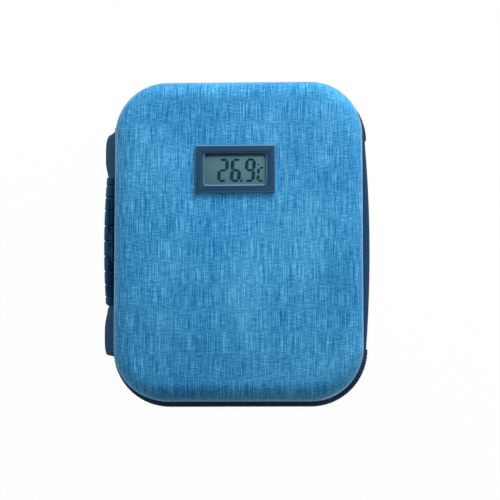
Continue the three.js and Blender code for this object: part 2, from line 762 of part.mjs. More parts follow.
// Housing: a box open to the front, with snap wings under the lid's wall, a battery bay
// through its floor and two rails that guide the battery door
const housingLow = -housingDepth;
const housingFloor = housingLow + housingWall;
const baySpan = 2 * cellRadius + cellSpacing / 2 + batteryBaySlack;
const bayHalfHeight = cellRadius + batteryBaySlack;
const doorHalfHeight = bayHalfHeight + doorMargin;
const doorHigh = housingLow - jointGap;
const doorLow = doorHigh - doorThickness;
function housing() {
  const halfX = housingWidth / 2;
  const halfY = housingHeight / 2;
  const outer = boxBetween([-halfX, halfX], [-halfY, halfY], [housingLow, 0]);
  const inX = halfX - housingWall;
  const inY = halfY - housingWall;
  const inside = boxBetween([-inX, inX], [-inY, inY], [housingFloor, cutOverrun]);
  const bayZ = [housingLow - cutOverrun, housingFloor + cutOverrun];
  const bay = boxBetween([-baySpan, baySpan], [-bayHalfHeight, bayHalfHeight], bayZ);
  const wingHigh = -shellWall - jointGap;
  const extras = [];
  for (const side of [-1, 1]) {
    extras.push(snapWing(side, halfX, wingHigh));
    const railIn = doorHalfHeight + jointGap;
    const railOut = railIn + railWall;
    const footLow = doorLow - jointGap - railFoot;
    const wallY = [side * railIn, side * railOut].sort((a, b) => a - b);
    const lipY = [side * (railIn - railLip), side * railOut].sort((a, b) => a - b);
    extras.push(boxBetween([-halfX, halfX], wallY, [footLow, housingFloor]));
    extras.push(boxBetween([-halfX, halfX], lipY, [footLow, footLow + railFoot]));
  }
  return cut(join(cut(outer, inside), ...extras), bay);
}
// A wedge that springs out under the lid's wall to hold the module in its cut-out
function snapWing(side, halfX, high) {
  const wedge = new THREE.Shape();
  wedge.moveTo(side * (halfX - housingWall / 2), high);
  wedge.lineTo(side * (halfX + wingReach), high);
  wedge.lineTo(side * (halfX + wingReach), high - wingReach / 2);
  wedge.lineTo(side * (halfX - housingWall / 2), high - wingDrop);
  wedge.closePath();
  return extrude(wedge, -wingWidth / 2, wingWidth / 2).rotateX(Math.PI / 2);
}
add(thermometer, "module_housing", housing(), blackPlastic);

// Behind the window: the display glass, its contact strip and the circuit board
const glassHigh = Math.min(-jointGap / 2, windowLow - jointGap);
const glassLow = glassHigh - glassThickness;
const glassHalfX = housingWidth / 2 - housingWall - glassSlack;
const glassHalfY = housingHeight / 2 - housingWall - glassSlack;
const glassX = [-glassHalfX, glassHalfX];
const glassY = [-glassHalfY, glassHalfY];
add(thermometer, "lcd_panel", boxBetween(glassX, glassY, [glassLow, glassHigh]), lcdGlass);
const zebraHigh = glassLow - jointGap;
const zebraLow = zebraHigh - zebraHeight;
const zebraY = [-glassHalfY, -glassHalfY + zebraWidth];
const zebraX = [-zebraLength / 2, zebraLength / 2];
add(thermometer, "zebra_connector", boxBetween(zebraX, zebraY, [zebraLow, zebraHigh]), conductiveRubber);
const boardHigh = zebraLow - jointGap;
const boardLow = boardHigh - boardThickness;
const boardHalfX = housingWidth / 2 - housingWall - boardSlack;
const boardHalfY = housingHeight / 2 - housingWall - boardSlack;
const boardX = [-boardHalfX, boardHalfX];
const boardY = [-boardHalfY, boardHalfY];
add(thermometer, "circuit_board", boxBetween(boardX, boardY, [boardLow, boardHigh]), boardGreen);

// Two button cells under the board, each with a spring contact
const contactHigh = boardLow - jointGap;
const contactLow = contactHigh - contactThickness;
const cellHigh = contactLow - jointGap;
const cellLow = cellHigh - cellHeight;
const cellX = cellRadius + cellSpacing / 2;
for (const [side, sign] of [["left", -1], ["right", 1]]) {
  const place = addGroup(thermometer, sign * cellX, 0, 0);
  const contactX = [-contactLength / 2, contactLength / 2];
  const contactY = [-contactWidth / 2, contactWidth / 2];
  const contact = boxBetween(contactX, contactY, [contactLow, contactHigh]);
  add(place, `battery_contact_${side}`, contact, springBrass);
  add(place, `battery_cell_${side}`, bar(cellRadius, cellLow, cellHigh), cellSteel);
}

// Battery door, with finger grooves across its back
function batteryDoor() {
  const doorX = [-doorLength / 2, doorLength / 2];
  const plate = boxBetween(doorX, [-doorHalfHeight, doorHalfHeight], [doorLow, doorHigh]);
  const grooves = Array.from({ length: doorGripCount }, (_, place) => {
    const x = doorLength / 2 - (place + 1) * doorGripPitch;
    const grooveX = [x - doorGripWidth / 2, x + doorGripWidth / 2];
    const grooveY = [-bayHalfHeight, bayHalfHeight];
    return boxBetween(grooveX, grooveY, [doorLow - cutOverrun, doorLow + doorGripDepth]);
  });
  return cut(plate, ...grooves);
}
add(thermometer, "battery_door", batteryDoor(), blackPlastic);

// Thermistor bead that reads the temperature inside the case
const beadHigh = housingLow - jointGap;
const beadY = doorHalfHeight + railWall + 2 * jointGap + beadRadius;
const bead = bar(beadRadius, beadHigh - beadLength, beadHigh);
add(thermometer, "sensor_bead", bead.translate(housingWidth * beadShare, beadY, 0), beadEpoxy);

export default insulinCase;
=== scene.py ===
"""Dresses the packed insulin cooling case with cloth, foam, zip and moulded pieces, in a studio."""

import math
from contextlib import contextmanager
from functools import reduce

import bmesh
import bpy
from bpy.props import FloatProperty, FloatVectorProperty, PointerProperty, StringProperty
from mathutils import Matrix, Vector


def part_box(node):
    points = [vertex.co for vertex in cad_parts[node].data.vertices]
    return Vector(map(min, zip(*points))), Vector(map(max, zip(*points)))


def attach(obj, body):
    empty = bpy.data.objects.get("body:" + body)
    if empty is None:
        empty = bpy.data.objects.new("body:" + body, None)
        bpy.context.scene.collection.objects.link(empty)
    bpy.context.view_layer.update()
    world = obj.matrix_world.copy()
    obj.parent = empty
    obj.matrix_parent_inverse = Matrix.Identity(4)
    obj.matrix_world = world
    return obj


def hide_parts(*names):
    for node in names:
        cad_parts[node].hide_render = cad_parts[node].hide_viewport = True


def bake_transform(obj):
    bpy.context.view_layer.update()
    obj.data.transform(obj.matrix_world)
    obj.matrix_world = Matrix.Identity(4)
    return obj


bl_info = {
    "name": "Insulin Cooling Case",
    "version": (1, 0, 0),
    "blender": (4, 5, 0),
    "location": "View3D > Sidebar > Cooling Case",
    "description": "Builds the visible pieces of a cooling case around its packed frame",
    "category": "Add Mesh",
}

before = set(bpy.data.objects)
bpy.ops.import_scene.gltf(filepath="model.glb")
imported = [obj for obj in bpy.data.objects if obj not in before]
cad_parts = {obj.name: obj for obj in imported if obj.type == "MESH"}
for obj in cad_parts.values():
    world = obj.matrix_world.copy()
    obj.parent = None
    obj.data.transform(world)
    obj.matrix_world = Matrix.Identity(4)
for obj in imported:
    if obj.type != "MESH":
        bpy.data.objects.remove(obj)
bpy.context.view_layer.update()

MM = 0.001
SLACK = 0.01 * MM
QUILT_PITCH = 11 * MM
FULL_TURN = 2 * math.pi
UP = Vector((0, 0, 1))


def tone(red, green, blue):
    """A screen colour, from 0 to 255, as the linear colour that a shader takes."""
    shares = (red / 255, green / 255, blue / 255)
    return tuple(c / 12.92 if c <= 0.04045 else ((c + 0.055) / 1.055) ** 2.4 for c in shares)


def scaled(shade, share):
    """A darker or lighter copy of a colour."""
    return tuple(share * c for c in shade)


# User settings


def length(name, description, default):
    """A setting in metres."""
    return FloatProperty(name=name, description=description, default=default, unit="LENGTH", precision=5)


def colour(name, description, default):
    """A setting with a colour."""
    return FloatVectorProperty(
        name=name, description=description, default=default, subtype="COLOR", size=3, min=0, max=1
    )


class CaseShape(bpy.types.PropertyGroup):
    """Sizes of the two moulded shells and of what follows their outline."""

    corner_radius: length("Corner radius", "Radius of the four corners, seen from the front", 32 * MM)
    front_edge: length("Front edge", "Radius of the edge round the lid's front face", 11 * MM)
    back_edge: length("Back edge", "Radius of the edge round the base's back face", 9 * MM)
    wall: length("Wall", "Thickness of the moulded shells with their cloth", 3 * MM)
    lining: length("Lining", "Thickness of the foam lining", 3.5 * MM)
    spine_bow: length("Spine bow", "How far the cloth spine bows out along its length", 2.5 * MM)
    spine_bulge: length("Spine bulge", "How far the cloth spine bulges between its long edges", 0.8 * MM)
    rim_softness: length("Rim softness", "Radius of the turned cloth at a rim", 0.6 * MM)
    pack_corner: length("Pack corner", "Radius of an ice pack's corners", 12 * MM)
    pack_edge: length("Pack edge", "Radius of an ice pack's long edges", 4 * MM)
    elastic: length("Elastic", "Thickness of the elastic bands", 1.2 * MM)
    pen_pitch: length("Pen pitch", "Distance from one pen to the next", 28 * MM)
    pen_channel: length("Pen channel", "Clear width under an arch of the elastic", 18 * MM)


class ClothLook(bpy.types.PropertyGroup):
    """Colours and thread sizes of the cloths."""

    mid: colour("Cover", "Middle colour of the heathered cover cloth", tone(36, 135, 189))
    dark: colour("Dark threads", "Darkest threads of the cover cloth", tone(6, 93, 152))
    light: colour("Light threads", "Lightest threads of the cover cloth", tone(101, 183, 228))
    band: colour("Band", "Cloth of the zip band and spine", tone(18, 58, 96))
    webbing: colour("Webbing", "Handle webbing and elastic", tone(22, 66, 98))
    thread: colour("Thread", "Sewing thread", tone(44, 72, 104))
    thread_pitch: length("Thread pitch", "Distance between two threads of the cover cloth", 0.4 * MM)
    slub: length("Slub length", "Usual length of a thick stretch of thread", 14 * MM)


class ZipLook(bpy.types.PropertyGroup):
    """Sizes of the zip band."""

    pitch: length("Tooth pitch", "Distance from one coil turn to the next", 1.5 * MM)
    tooth: length("Tooth", "Thickness of a coil turn", 0.95 * MM)
    reach: length("Tooth reach", "How far a coil turn stands past its tape towards the zip line", 0.5 * MM)
    stitch: length("Stitch", "Length of one stitch", 2.0 * MM)
    stitch_pitch: length("Stitch pitch", "Distance from one stitch to the next", 2.9 * MM)
    thread: length("Thread", "Thickness of the sewing thread", 0.42 * MM)


class HandleLook(bpy.types.PropertyGroup):
    """Sizes of the side handle."""

    grip_end: length("Grip end", "Thickness of the grip at its two ends", 5.2 * MM)
    groove_width: length("Groove width", "Width of a groove in the grip", 1.2 * MM)
    groove_depth: length("Groove depth", "Depth of a groove in the grip", 0.42 * MM)
    softness: length("Softness", "Radius of the grip's long edges", 2.4 * MM)
    webbing: length("Webbing", "Thickness of the webbing", 1.6 * MM)
    strap_lean: length("Strap lean", "How far a strap's lower edge leans out", 4.3 * MM)
    tab_length: length("Tab length", "Length of webbing sewn down at each end", 10.5 * MM)
    slot: length("Slot", "Depth of the slots in the grip's ends", 3 * MM)
    rubber: colour("Rubber", "Moulded rubber of the grip", tone(34, 88, 124))


class DisplayLook(bpy.types.PropertyGroup):
    """Reading and sizes of the thermometer display."""

    reading: StringProperty(name="Reading", description="Digits that the display shows", default="26.9")
    reading_left: length("Reading left", "From the window's middle left to the first digit", 10.7 * MM)
    reading_foot: length("Reading foot", "From the window's middle down to the digits' feet", 7.8 * MM)
    digit_height: length("Digit height", "Height of a digit", 14.3 * MM)
    digit_width: length("Digit width", "Width of a digit", 6.5 * MM)
    digit_pitch: length("Digit pitch", "Distance from one digit to the next", 7.7 * MM)
    point_room: length("Point room", "Extra distance where the decimal point stands", 0.9 * MM)
    segment: length("Segment", "Width of an upright segment of a digit", 2.1 * MM)
    bar: length("Bar", "Width of a level segment of a digit", 1.5 * MM)
    gap: length("Gap", "Clear gap between two segments of a digit", 0.7 * MM)
    slope_side: length("Side slope", "Width of the slope beside the window", 2.6 * MM)
    slope_end: length("End slope", "Width of the slope above and below the window", 1.4 * MM)
    window_corner: length("Window corner", "Radius of the window's corners", 1.9 * MM)
    slope_depth: length("Slope depth", "How deep the slope round the window goes", 0.75 * MM)
    point: length("Point", "Size of the decimal point", 1.5 * MM)
    degree: length("Degree mark", "Size of the degree mark", 1.1 * MM)
    unit_height: length("Unit height", "Height of the letter for degrees", 9.2 * MM)
    unit_width: length("Unit width", "Width of the letter for degrees", 5.0 * MM)
    unit_weight: FloatProperty(
        name="Unit weight",
        description="Width of the letter's lines, as a share of a digit's",
        default=0.8,
    )
    slant: FloatProperty(name="Slant", description="Sideways lean of a digit, as a share", default=0.07)
    bezel: colour("Bezel", "Moulded display frame", tone(14, 58, 88))
    glass: colour("Display", "Blank part of the display", tone(84, 126, 138))
    ink: colour("Segments", "Dark part of the display", tone(10, 54, 62))


class Studio(bpy.types.PropertyGroup):
    """Camera and lamps."""

    camera: FloatVectorProperty(
        name="Camera",
        description="Place of the camera",
        default=(0.0535, -0.1254, 1.15),
        subtype="XYZ",
    )
    aim: FloatVectorProperty(
        name="Aim",
        description="Point that the camera looks at",
        default=(0.0067, -0.0050, 0.06),
        subtype="XYZ",
    )
    focal: FloatProperty(name="Focal length", description="Lens, in millimetres", default=129.5)
    overhead: FloatProperty(name="Overhead lamp", description="Power of the lamp in front", default=3.75)
    key: FloatProperty(name="Key lamp", description="Power of the lamp past the top end", default=5.9)
    side: FloatProperty(name="Side lamp", description="Power of the lamp past the spine", default=1.5)
    near: FloatProperty(name="Near lamp", description="Power of the lamp past the handle", default=1.6)
    fill: FloatProperty(name="Fill", description="Strength of the light from all round", default=0.27)
    floor_white: FloatProperty(
        name="Floor white",
        description="Share of plain white in the floor as the camera sees it",
        default=0.97,
    )


# Modelling helpers


def only(piece):
    """Selects one object alone and makes it active."""
    bpy.ops.object.select_all(action="DESELECT")
    piece.select_set(True)
    bpy.context.view_layer.objects.active = piece


def named(name):
    """The object just added by an operator, under its name and with its place in its mesh."""
    piece = bpy.context.object
    piece.name = piece.data.name = name
    if piece.type == "MESH":
        bpy.ops.object.transform_apply(location=True, rotation=True, scale=True)
    return piece


def added(name, primitive, **settings):
    """A new primitive under a name, with nothing else selected."""
    bpy.ops.object.select_all(action="DESELECT")
    primitive(**settings)
    return named(name)


def block(name, low, high):
    """A box between two corners, which is the start of most pieces."""
    low, high = Vector(low), Vector(high)
    middle = (low + high) / 2
    return added(name, bpy.ops.mesh.primitive_cube_add, size=1, location=middle, scale=high - low)


def brick(name, middle, half):
    """A box by its middle and half its size."""
    return block(name, middle - half, middle + half)


def rod(name, node, sides, lying=False):
    """A cylinder in the room that a CAD node takes up, upright or lying along Y."""
    low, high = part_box(node)
    return added(
        name,
        bpy.ops.mesh.primitive_cylinder_add,
        vertices=sides,
        radius=(high.x - low.x) / 2,
        depth=high.y - low.y if lying else high.z - low.z,
        location=(low + high) / 2,
        rotation=(math.pi / 2 if lying else 0, 0, 0),
    )


@contextmanager
def editing(piece):
    """Edit mode on one piece, left again at the end."""
    only(piece)
    bpy.ops.object.mode_set(mode="EDIT")
    yield
    bpy.ops.object.mode_set(mode="OBJECT")


def pick(piece, kind, test):
    """In edit mode, selects the edges or faces that pass a test, and no others."""
    bpy.ops.mesh.select_mode(type=kind)
    bpy.ops.mesh.select_all(action="DESELECT")
    shape = bmesh.from_edit_mesh(piece.data)
    for part in {"EDGE": shape.edges, "FACE": shape.faces}[kind]:
        if test(part):
            part.select_set(True)
    shape.select_flush_mode()
    bmesh.update_edit_mesh(piece.data)


def upright(edge):
    """Whether an edge stands along Z."""
    first, last = (v.co for v in edge.verts)
    return (first.xy - last.xy).length < SLACK


def level_at(height, axis=2):
    """A test that passes what lies wholly at one height, or at one place on another axis."""
    return lambda part: all(abs(v.co[axis] - height) < SLACK for v in part.verts)


def bevel_edges(piece, test, radius, segments):
    """Rounds the edges that pass a test."""
    with editing(piece):
        pick(piece, "EDGE", test)
        bpy.ops.mesh.bevel(offset=radius, segments=segments, affect="EDGES")


def finish_with(piece, kind, **settings):
    """Adds a modifier with its settings and applies it."""
    only(piece)
    modifier = piece.modifiers.new(kind.title(), kind)
    for key, value in settings.items():
        setattr(modifier, key, value)
    bpy.ops.object.modifier_apply(modifier=modifier.name)
    return piece


def soften(piece, radius, segments=2, angle=35):
    """Rounds every edge sharper than an angle."""
    return finish_with(
        piece,
        "BEVEL",
        width=radius,
        segments=segments,
        limit_method="ANGLE",
        angle_limit=math.radians(angle),
        use_clamp_overlap=True,
    )


def smooth(piece, angle=40):
    """Shades a piece smooth, apart from edges sharper than an angle."""
    only(piece)
    bpy.ops.object.shade_smooth_by_angle(angle=math.radians(angle))
    return piece


def carve(piece, cutter):
    """Cuts one piece by another, which is then removed."""
    finish_with(piece, "BOOLEAN", operation="DIFFERENCE", solver="EXACT", object=cutter)
    bpy.data.objects.remove(cutter)
    return piece


def merge(name, pieces):
    """Joins several pieces into one."""
    bpy.ops.object.select_all(action="DESELECT")
    for piece in pieces:
        piece.select_set(True)
    bpy.context.view_layer.objects.active = pieces[0]
    bpy.ops.object.join()
    return named(name)


def repeat(name, model, places):
    """One piece made of a copy of a model at each place, after which the model is removed."""
    shape = bmesh.new()
    for place in places:
        copy = model.data.copy()
        copy.transform(place)
        shape.from_mesh(copy)
        bpy.data.meshes.remove(copy)
    mesh = bpy.data.meshes.new(name)
    shape.to_mesh(mesh)
    shape.free()
    piece = bpy.data.objects.new(name, mesh)
    bpy.context.collection.objects.link(piece)
    bpy.data.objects.remove(model)
    return piece


def rounded_rectangle(middle, radius, steps, z=0):
    """Points round a rectangle whose round corners have their centres at plus and minus middle."""
    points = []
    for corner in range(4):
        middle_x = middle[0] * (1 if corner in (0, 3) else -1)
        middle_y = middle[1] * (1 if corner < 2 else -1)
        for step in range(steps + 1):
            angle = (corner + step / steps) * math.pi / 2
            x = middle_x + radius * math.cos(angle)
            points.append(Vector((x, middle_y + radius * math.sin(angle), z)))
    return points


def drawn(points, closed):
    """A curve with straight runs through some points."""
    bpy.ops.object.select_all(action="DESELECT")
    bpy.ops.object.add(type="CURVE")
    curve = bpy.context.object
    curve.data.dimensions = "3D"
    spline = curve.data.splines.new("POLY")
    spline.points.add(len(points) - 1)
    for point, place in zip(spline.points, points):
        point.co = (*place, 1)
    spline.use_cyclic_u = closed
    return curve


def section_curve(width, height, radius):
    """A flat closed curve with round corners, to sweep along a line."""
    return drawn(rounded_rectangle((width / 2 - radius, height / 2 - radius), radius, 3), True)


def sweep(name, section, line, closed=False):
    """Sweeps a section along a line of points. Its map runs along and round it, in metres."""
    path = drawn(line, closed)
    path.data.twist_mode = "Z_UP"
    path.data.bevel_mode = "OBJECT"
    path.data.bevel_object = section
    path.data.use_fill_caps = not closed
    bpy.ops.object.convert(target="MESH")
    piece = named(name)
    girth = total_length([p.co.xyz for p in section.data.splines[0].points], True)
    run = total_length(line, closed)
    for loop in piece.data.uv_layers[0].data:
        loop.uv = (loop.uv[0] * run, loop.uv[1] * girth)
    bpy.data.objects.remove(section)
    return piece


def cloth_over(name, counts, size, place):
    """A grid laid over a surface: place gives each point from two shares. Its map is in metres."""
    columns, rows = counts
    grid = bpy.ops.mesh.primitive_grid_add
    piece = added(name, grid, x_subdivisions=columns, y_subdivisions=rows, size=1)
    for vertex in piece.data.vertices:
        vertex.co = place(vertex.co.x + 0.5, vertex.co.y + 0.5)
    for loop in piece.data.uv_layers.active.data:
        loop.uv = (loop.uv[0] * size[0], loop.uv[1] * size[1])
    return piece


def thicken(piece, thickness, offset=0):
    """Gives a cloth its thickness and faces it outwards."""
    finish_with(piece, "SOLIDIFY", thickness=thickness, offset=offset)
    with editing(piece):
        bpy.ops.mesh.select_all(action="SELECT")
        bpy.ops.mesh.normals_make_consistent(inside=False)
    return piece


def total_length(points, closed):
    """Length of a line of points."""
    ends = points[1:] + points[:1] if closed else points[1:]
    return sum((b - a).length for a, b in zip(points, ends))


def spaced(points, pitch, closed=False):
    """Places at an even pitch along a line of points, each with the heading there."""
    corners = points + points[:1] if closed else points
    total = total_length(points, closed)
    count = max(1, round(total / pitch))
    wanted = [(i + 0.5) * total / count for i in range(count)]
    places, walked = [], 0
    for start, end in zip(corners, corners[1:]):
        step = (end - start).length
        while wanted and wanted[0] <= walked + step:
            share = (wanted.pop(0) - walked) / step
            places.append((start.lerp(end, share), (end - start).normalized()))
        walked += step
    return places


def turned(place, heading):
    """The matrix that takes a model, which runs along Y at the origin, to a place and a heading."""
    across = heading.cross(UP).normalized()
    turn = Matrix((across, heading, across.cross(heading))).transposed().to_4x4()
    return Matrix.Translation(place) @ turn


def rounded_copy(node, name, radius, segments=2):
    """A copy of a CAD node with its flat faces whole and its edges rounded."""
    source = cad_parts[node]
    piece = bpy.data.objects.new(name, source.data.copy())
    bpy.context.collection.objects.link(piece)
    with editing(piece):
        bpy.ops.mesh.select_all(action="SELECT")
        bpy.ops.mesh.remove_doubles(threshold=0.005 * MM)
        bpy.ops.mesh.dissolve_limited(angle_limit=math.radians(1))
    soften(piece, radius, segments)
    return smooth(piece)


def ribbed(name, body, places, half, radius):
    """A body with a small rounded bar joined on at each place."""
    ribs = [soften(brick("rib", place, half), radius) for place in places]
    return merge(name, [body, *ribs])


def settle(piece, body, material, slot, *stands_for):
    """Gives a finished piece its material and its body, and hides the nodes that it stands for. The slot is
    not used.
    """
    piece.data.materials.clear()
    piece.data.materials.append(material)
    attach(piece, body)
    if stands_for:
        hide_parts(*stands_for)
    return piece


def paint(node, material):
    """Gives a CAD node that stays its material."""
    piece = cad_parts[node]
    for place in piece.material_slots:
        place.material = material


# The case's outline


class Outline:
    """The case in plan: straight sides and four round corners."""

    def __init__(self, shape):
        self.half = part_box("base_shell")[1].xy
        self.radius = shape.corner_radius
        self.middle = self.half - Vector((self.radius, self.radius))

    def run(self, offset, z):
        """The case's outline, grown by offset, from the spine side's top end round to its foot."""
        return rounded_rectangle(self.middle, self.radius + offset, 20, z)

    def nearest_middle(self, point):
        """The nearest point of the rectangle between the four corners' centres."""
        x = min(max(point.x, -self.middle.x), self.middle.x)
        return Vector((x, min(max(point.y, -self.middle.y), self.middle.y)))


outline = None


def tray(name, inset, floor, rim, edge, wall):
    """A tray with round corners and a round floor edge, open at its rim, with a wall."""
    half = outline.half - Vector((inset, inset))
    piece = block(name, (*-half, min(floor, rim)), (*half, max(floor, rim)))
    bevel_edges(piece, upright, outline.radius - inset, 18)
    bevel_edges(piece, level_at(floor), edge, 9)
    with editing(piece):
        pick(piece, "FACE", level_at(rim))
        bpy.ops.mesh.delete(type="FACE")
    unroll(piece, inset, floor, edge)
    finish_with(piece, "SOLIDIFY", thickness=wall, offset=-1, use_even_offset=True)
    return piece


def unroll(piece, inset, floor, edge):
    """Maps a tray as its cloth lies: flat on the floor, then out and down over the edge and wall."""
    layer = piece.data.uv_layers.active or piece.data.uv_layers.new(name="Cloth")
    flat = outline.radius - inset - edge
    for loop in piece.data.loops:
        place = piece.data.vertices[loop.vertex_index].co
        depth = abs(place.z - floor)
        turn = math.acos(max(0, 1 - depth / edge))
        run = edge * turn + max(0, depth - edge)
        middle = outline.nearest_middle(place)
        away = place.xy - middle
        if away.length > flat:
            away = away.normalized() * (flat + run)
        layer.data[loop.index].uv = middle + away


# Shader helpers


class Field:
    """A number that varies over a surface. Arithmetic on it adds Math nodes."""

    def __init__(self, finish, socket):
        self.finish = finish
        self.socket = socket

    def __add__(self, other):
        return self.finish.math("ADD", self, other)

    def __sub__(self, other):
        return self.finish.math("SUBTRACT", self, other)

    def __rsub__(self, other):
        return self.finish.math("SUBTRACT", other, self)

    def __mul__(self, other):
        return self.finish.math("MULTIPLY", self, other)

    def __truediv__(self, other):
        return self.finish.math("DIVIDE", self, other)

    def __pow__(self, other):
        return self.finish.math("POWER", self, other)

    def __gt__(self, other):
        return self.finish.math("GREATER_THAN", self, other)

    def __lt__(self, other):
        return self.finish.math("LESS_THAN", self, other)

    __radd__ = __add__
    __rmul__ = __mul__


class Nodes:
    """A tree of shader nodes, started empty."""

    def __init__(self, tree):
        self.tree = tree
        tree.nodes.clear()

    def node(self, kind, settings, inputs):
        """Adds any node: its settings first, then the values or links of its sockets."""
        made = self.tree.nodes.new(kind)
        for key, value in settings.items():
            if key == "stops":
                self.set_stops(made.color_ramp, value)
            else:
                setattr(made, key, value)
        for key, value in inputs.items():
            self.feed(made.inputs[key], value)
        return made

    def feed(self, socket, value):
        """Gives a socket a value or a link."""
        if isinstance(value, Field):
            value = value.socket
        if isinstance(value, bpy.types.NodeSocket):
            self.tree.links.new(value, socket)
        elif socket.type == "RGBA" and len(value) == 3:
            socket.default_value = (*value, 1)
        else:
            socket.default_value = value

    @staticmethod
    def set_stops(ramp, stops):
        """Gives a colour ramp its stops: a place and a colour each."""
        while len(ramp.elements) < len(stops):
            ramp.elements.new(1)
        for element, (place, shade) in zip(ramp.elements, stops):
            element.position = place
            element.color = (*shade, 1)

    def math(self, operation, *values, clamp=False):
        """The outcome of one Math node."""
        settings = {"operation": operation, "use_clamp": clamp}
        return Field(self, self.node("ShaderNodeMath", settings, dict(enumerate(values))).outputs[0])

    def shown(self):
        """1 where the camera sees a surface straight, in a mirror or through glass, and 0 as light."""
        ray = self.node("ShaderNodeLightPath", {}, {}).outputs
        mirrored = self.math("MAXIMUM", ray["Is Camera Ray"], ray["Is Glossy Ray"])
        return self.math("MAXIMUM", mirrored, ray["Is Transmission Ray"])


class Finish(Nodes):
    """A material, and the principled shader that its nodes feed."""

    def __init__(self, name, **constants):
        self.material = bpy.data.materials.new(name)
        self.material.use_nodes = True
        super().__init__(self.material.node_tree)
        self.shader = self.node("ShaderNodeBsdfPrincipled", {}, {})
        self.paint(**constants)
        self.output = self.node("ShaderNodeOutputMaterial", {}, {"Surface": self.shader.outputs["BSDF"]})

    def wave(self, field, pitch):
        """A ripple from 0 to 1 along a field of metres."""
        return self.math("SINE", field * (FULL_TURN / pitch)) * 0.5 + 0.5

    def place(self):
        """The surface's place on the object, as three fields of metres."""
        found = self.node("ShaderNodeTexCoord", {}, {}).outputs["Object"]
        split = self.node("ShaderNodeSeparateXYZ", {}, {"Vector": found})
        return [Field(self, socket) for socket in split.outputs]

    def cloth_place(self):
        """The surface's place on its own map, as two fields of metres."""
        found = self.node("ShaderNodeUVMap", {}, {}).outputs["UV"]
        split = self.node("ShaderNodeSeparateXYZ", {}, {"Vector": found})
        return [Field(self, socket) for socket in split.outputs[:2]]

    def vector(self, x, y, z=0.0):
        """Three fields as one vector."""
        return self.node("ShaderNodeCombineXYZ", {}, {"X": x, "Y": y, "Z": z}).outputs["Vector"]

    def noise(self, x, y, z=0.0, detail=2.0, roughness=0.5):
        """Noise from 0 to 1, with grains one unit of its coordinates across."""
        sockets = {"Vector": self.vector(x, y, z), "Scale": 1.0, "Detail": detail, "Roughness": roughness}
        made = self.node("ShaderNodeTexNoise", {"noise_dimensions": "3D"}, sockets)
        return Field(self, made.outputs[0])

    def grain(self, place, *sizes, **settings):
        """Noise over a place, with grains of one size, or of a size for each axis."""
        sizes = sizes if len(sizes) > 1 else sizes * len(place)
        return self.noise(*(field / size for field, size in zip(place, sizes)), **settings)

    def edge(self, field, steepness):
        """0 where a field is below nothing, and 1 a little above it."""
        return self.math("MULTIPLY", field, steepness, clamp=True)

    def blend(self, share, first, second):
        """A colour between two, by a field from 0 to 1."""
        settings = {"data_type": "RGBA", "clamp_factor": True}
        return self.node("ShaderNodeMix", settings, {0: share, 6: first, 7: second}).outputs[2]

    def tinted(self, share, shade, low, high):
        """A colour between a darker and a lighter share of itself, by a field from 0 to 1."""
        return self.blend(share, scaled(shade, low), scaled(shade, high))

    def ramp(self, field, stops):
        """A colour by a field, through the stops of a colour ramp."""
        return self.node("ShaderNodeValToRGB", {"stops": stops}, {"Fac": field}).outputs["Color"]

    def bump(self, height, distance, strength=1.0):
        """Feeds the shader's normal from a height field, in shares of a distance."""
        sockets = {"Height": height, "Distance": distance, "Strength": strength}
        self.feed(self.shader.inputs["Normal"], self.node("ShaderNodeBump", {}, sockets).outputs[0])

    def paint(self, **sockets):
        """Feeds the shader's named sockets."""
        for key, value in sockets.items():
            socket = key.replace("_", " ").title().replace("Ior", "IOR")
            self.feed(self.shader.inputs[socket], value)


# Finishes


def shared(make):
    """Keeps a finish that several operators use under its function's name, so it is made once."""
    def found(*look):
        return bpy.data.materials.get(make.__name__) or make(*look)
    return found


def cover_cloth(look):
    """Heathered woven cloth: long uneven slubs along the case, crossed by finer threads."""
    cloth = Finish(
        "cover_cloth",
        sheen_weight=0.6,
        sheen_roughness=0.3,
        sheen_tint=(0.82, 0.95, 1, 1),
        specular_ior_level=0.3,
    )
    u, v = cloth.cloth_place()
    thread = look.thread_pitch
    slub = look.slub
    warp = cloth.noise(u / thread, v / slub, detail=3, roughness=0.65)
    bunch = cloth.noise(u / (2.6 * thread), v / (3 * slub), 3.1, detail=2)
    weft = cloth.noise(u / (0.25 * slub), v / thread, 7.7, detail=3)
    patch = cloth.noise(u / (2.2 * slub), v / (4 * slub), 12.3, detail=1)
    weave = cloth.wave(u + v * 0.02, 2 * thread) * cloth.wave(v, 2 * thread)
    heather = (
        0.5
        + (warp - 0.5) * 2.05
        + (bunch - 0.5) * 0.5
        + (weft - 0.5) * 1.1
        + (patch - 0.5) * 0.4
        + (weave - 0.25) * 0.16
    )
    shade = cloth.ramp(heather, [(0.12, look.dark), (0.48, look.mid), (0.9, look.light)])
    cloth.paint(base_color=shade, roughness=0.82 - (warp - 0.5) * 0.2)
    relief = weave * 0.6 + warp * 0.5 + weft * 0.4
    cloth.bump(relief, 0.25 * MM, 0.35)
    return cloth.material


@shared
def band_cloth(look):
    """Plain dark cloth of the zip band, with a fine rib across its run."""
    cloth = Finish(
        "band_cloth",
        sheen_weight=0.03,
        sheen_roughness=0.5,
        sheen_tint=(0.7, 0.85, 1, 1),
        specular_ior_level=0.08,
    )
    u, v = cloth.cloth_place()
    rib = cloth.wave(u, 0.7 * MM)
    cross = cloth.wave(v + u * 0.15, 0.55 * MM)
    fleck = cloth.grain((u, v), 2 * MM, 0.6 * MM)
    depth = rib * 0.18 + cross * 0.12 + fleck * 0.7
    cloth.paint(base_color=cloth.tinted(depth, look.band, 0.72, 1.3), roughness=0.72 + fleck * 0.2)
    cloth.bump(rib + cross * 0.6, 0.12 * MM, 0.5)
    return cloth.material


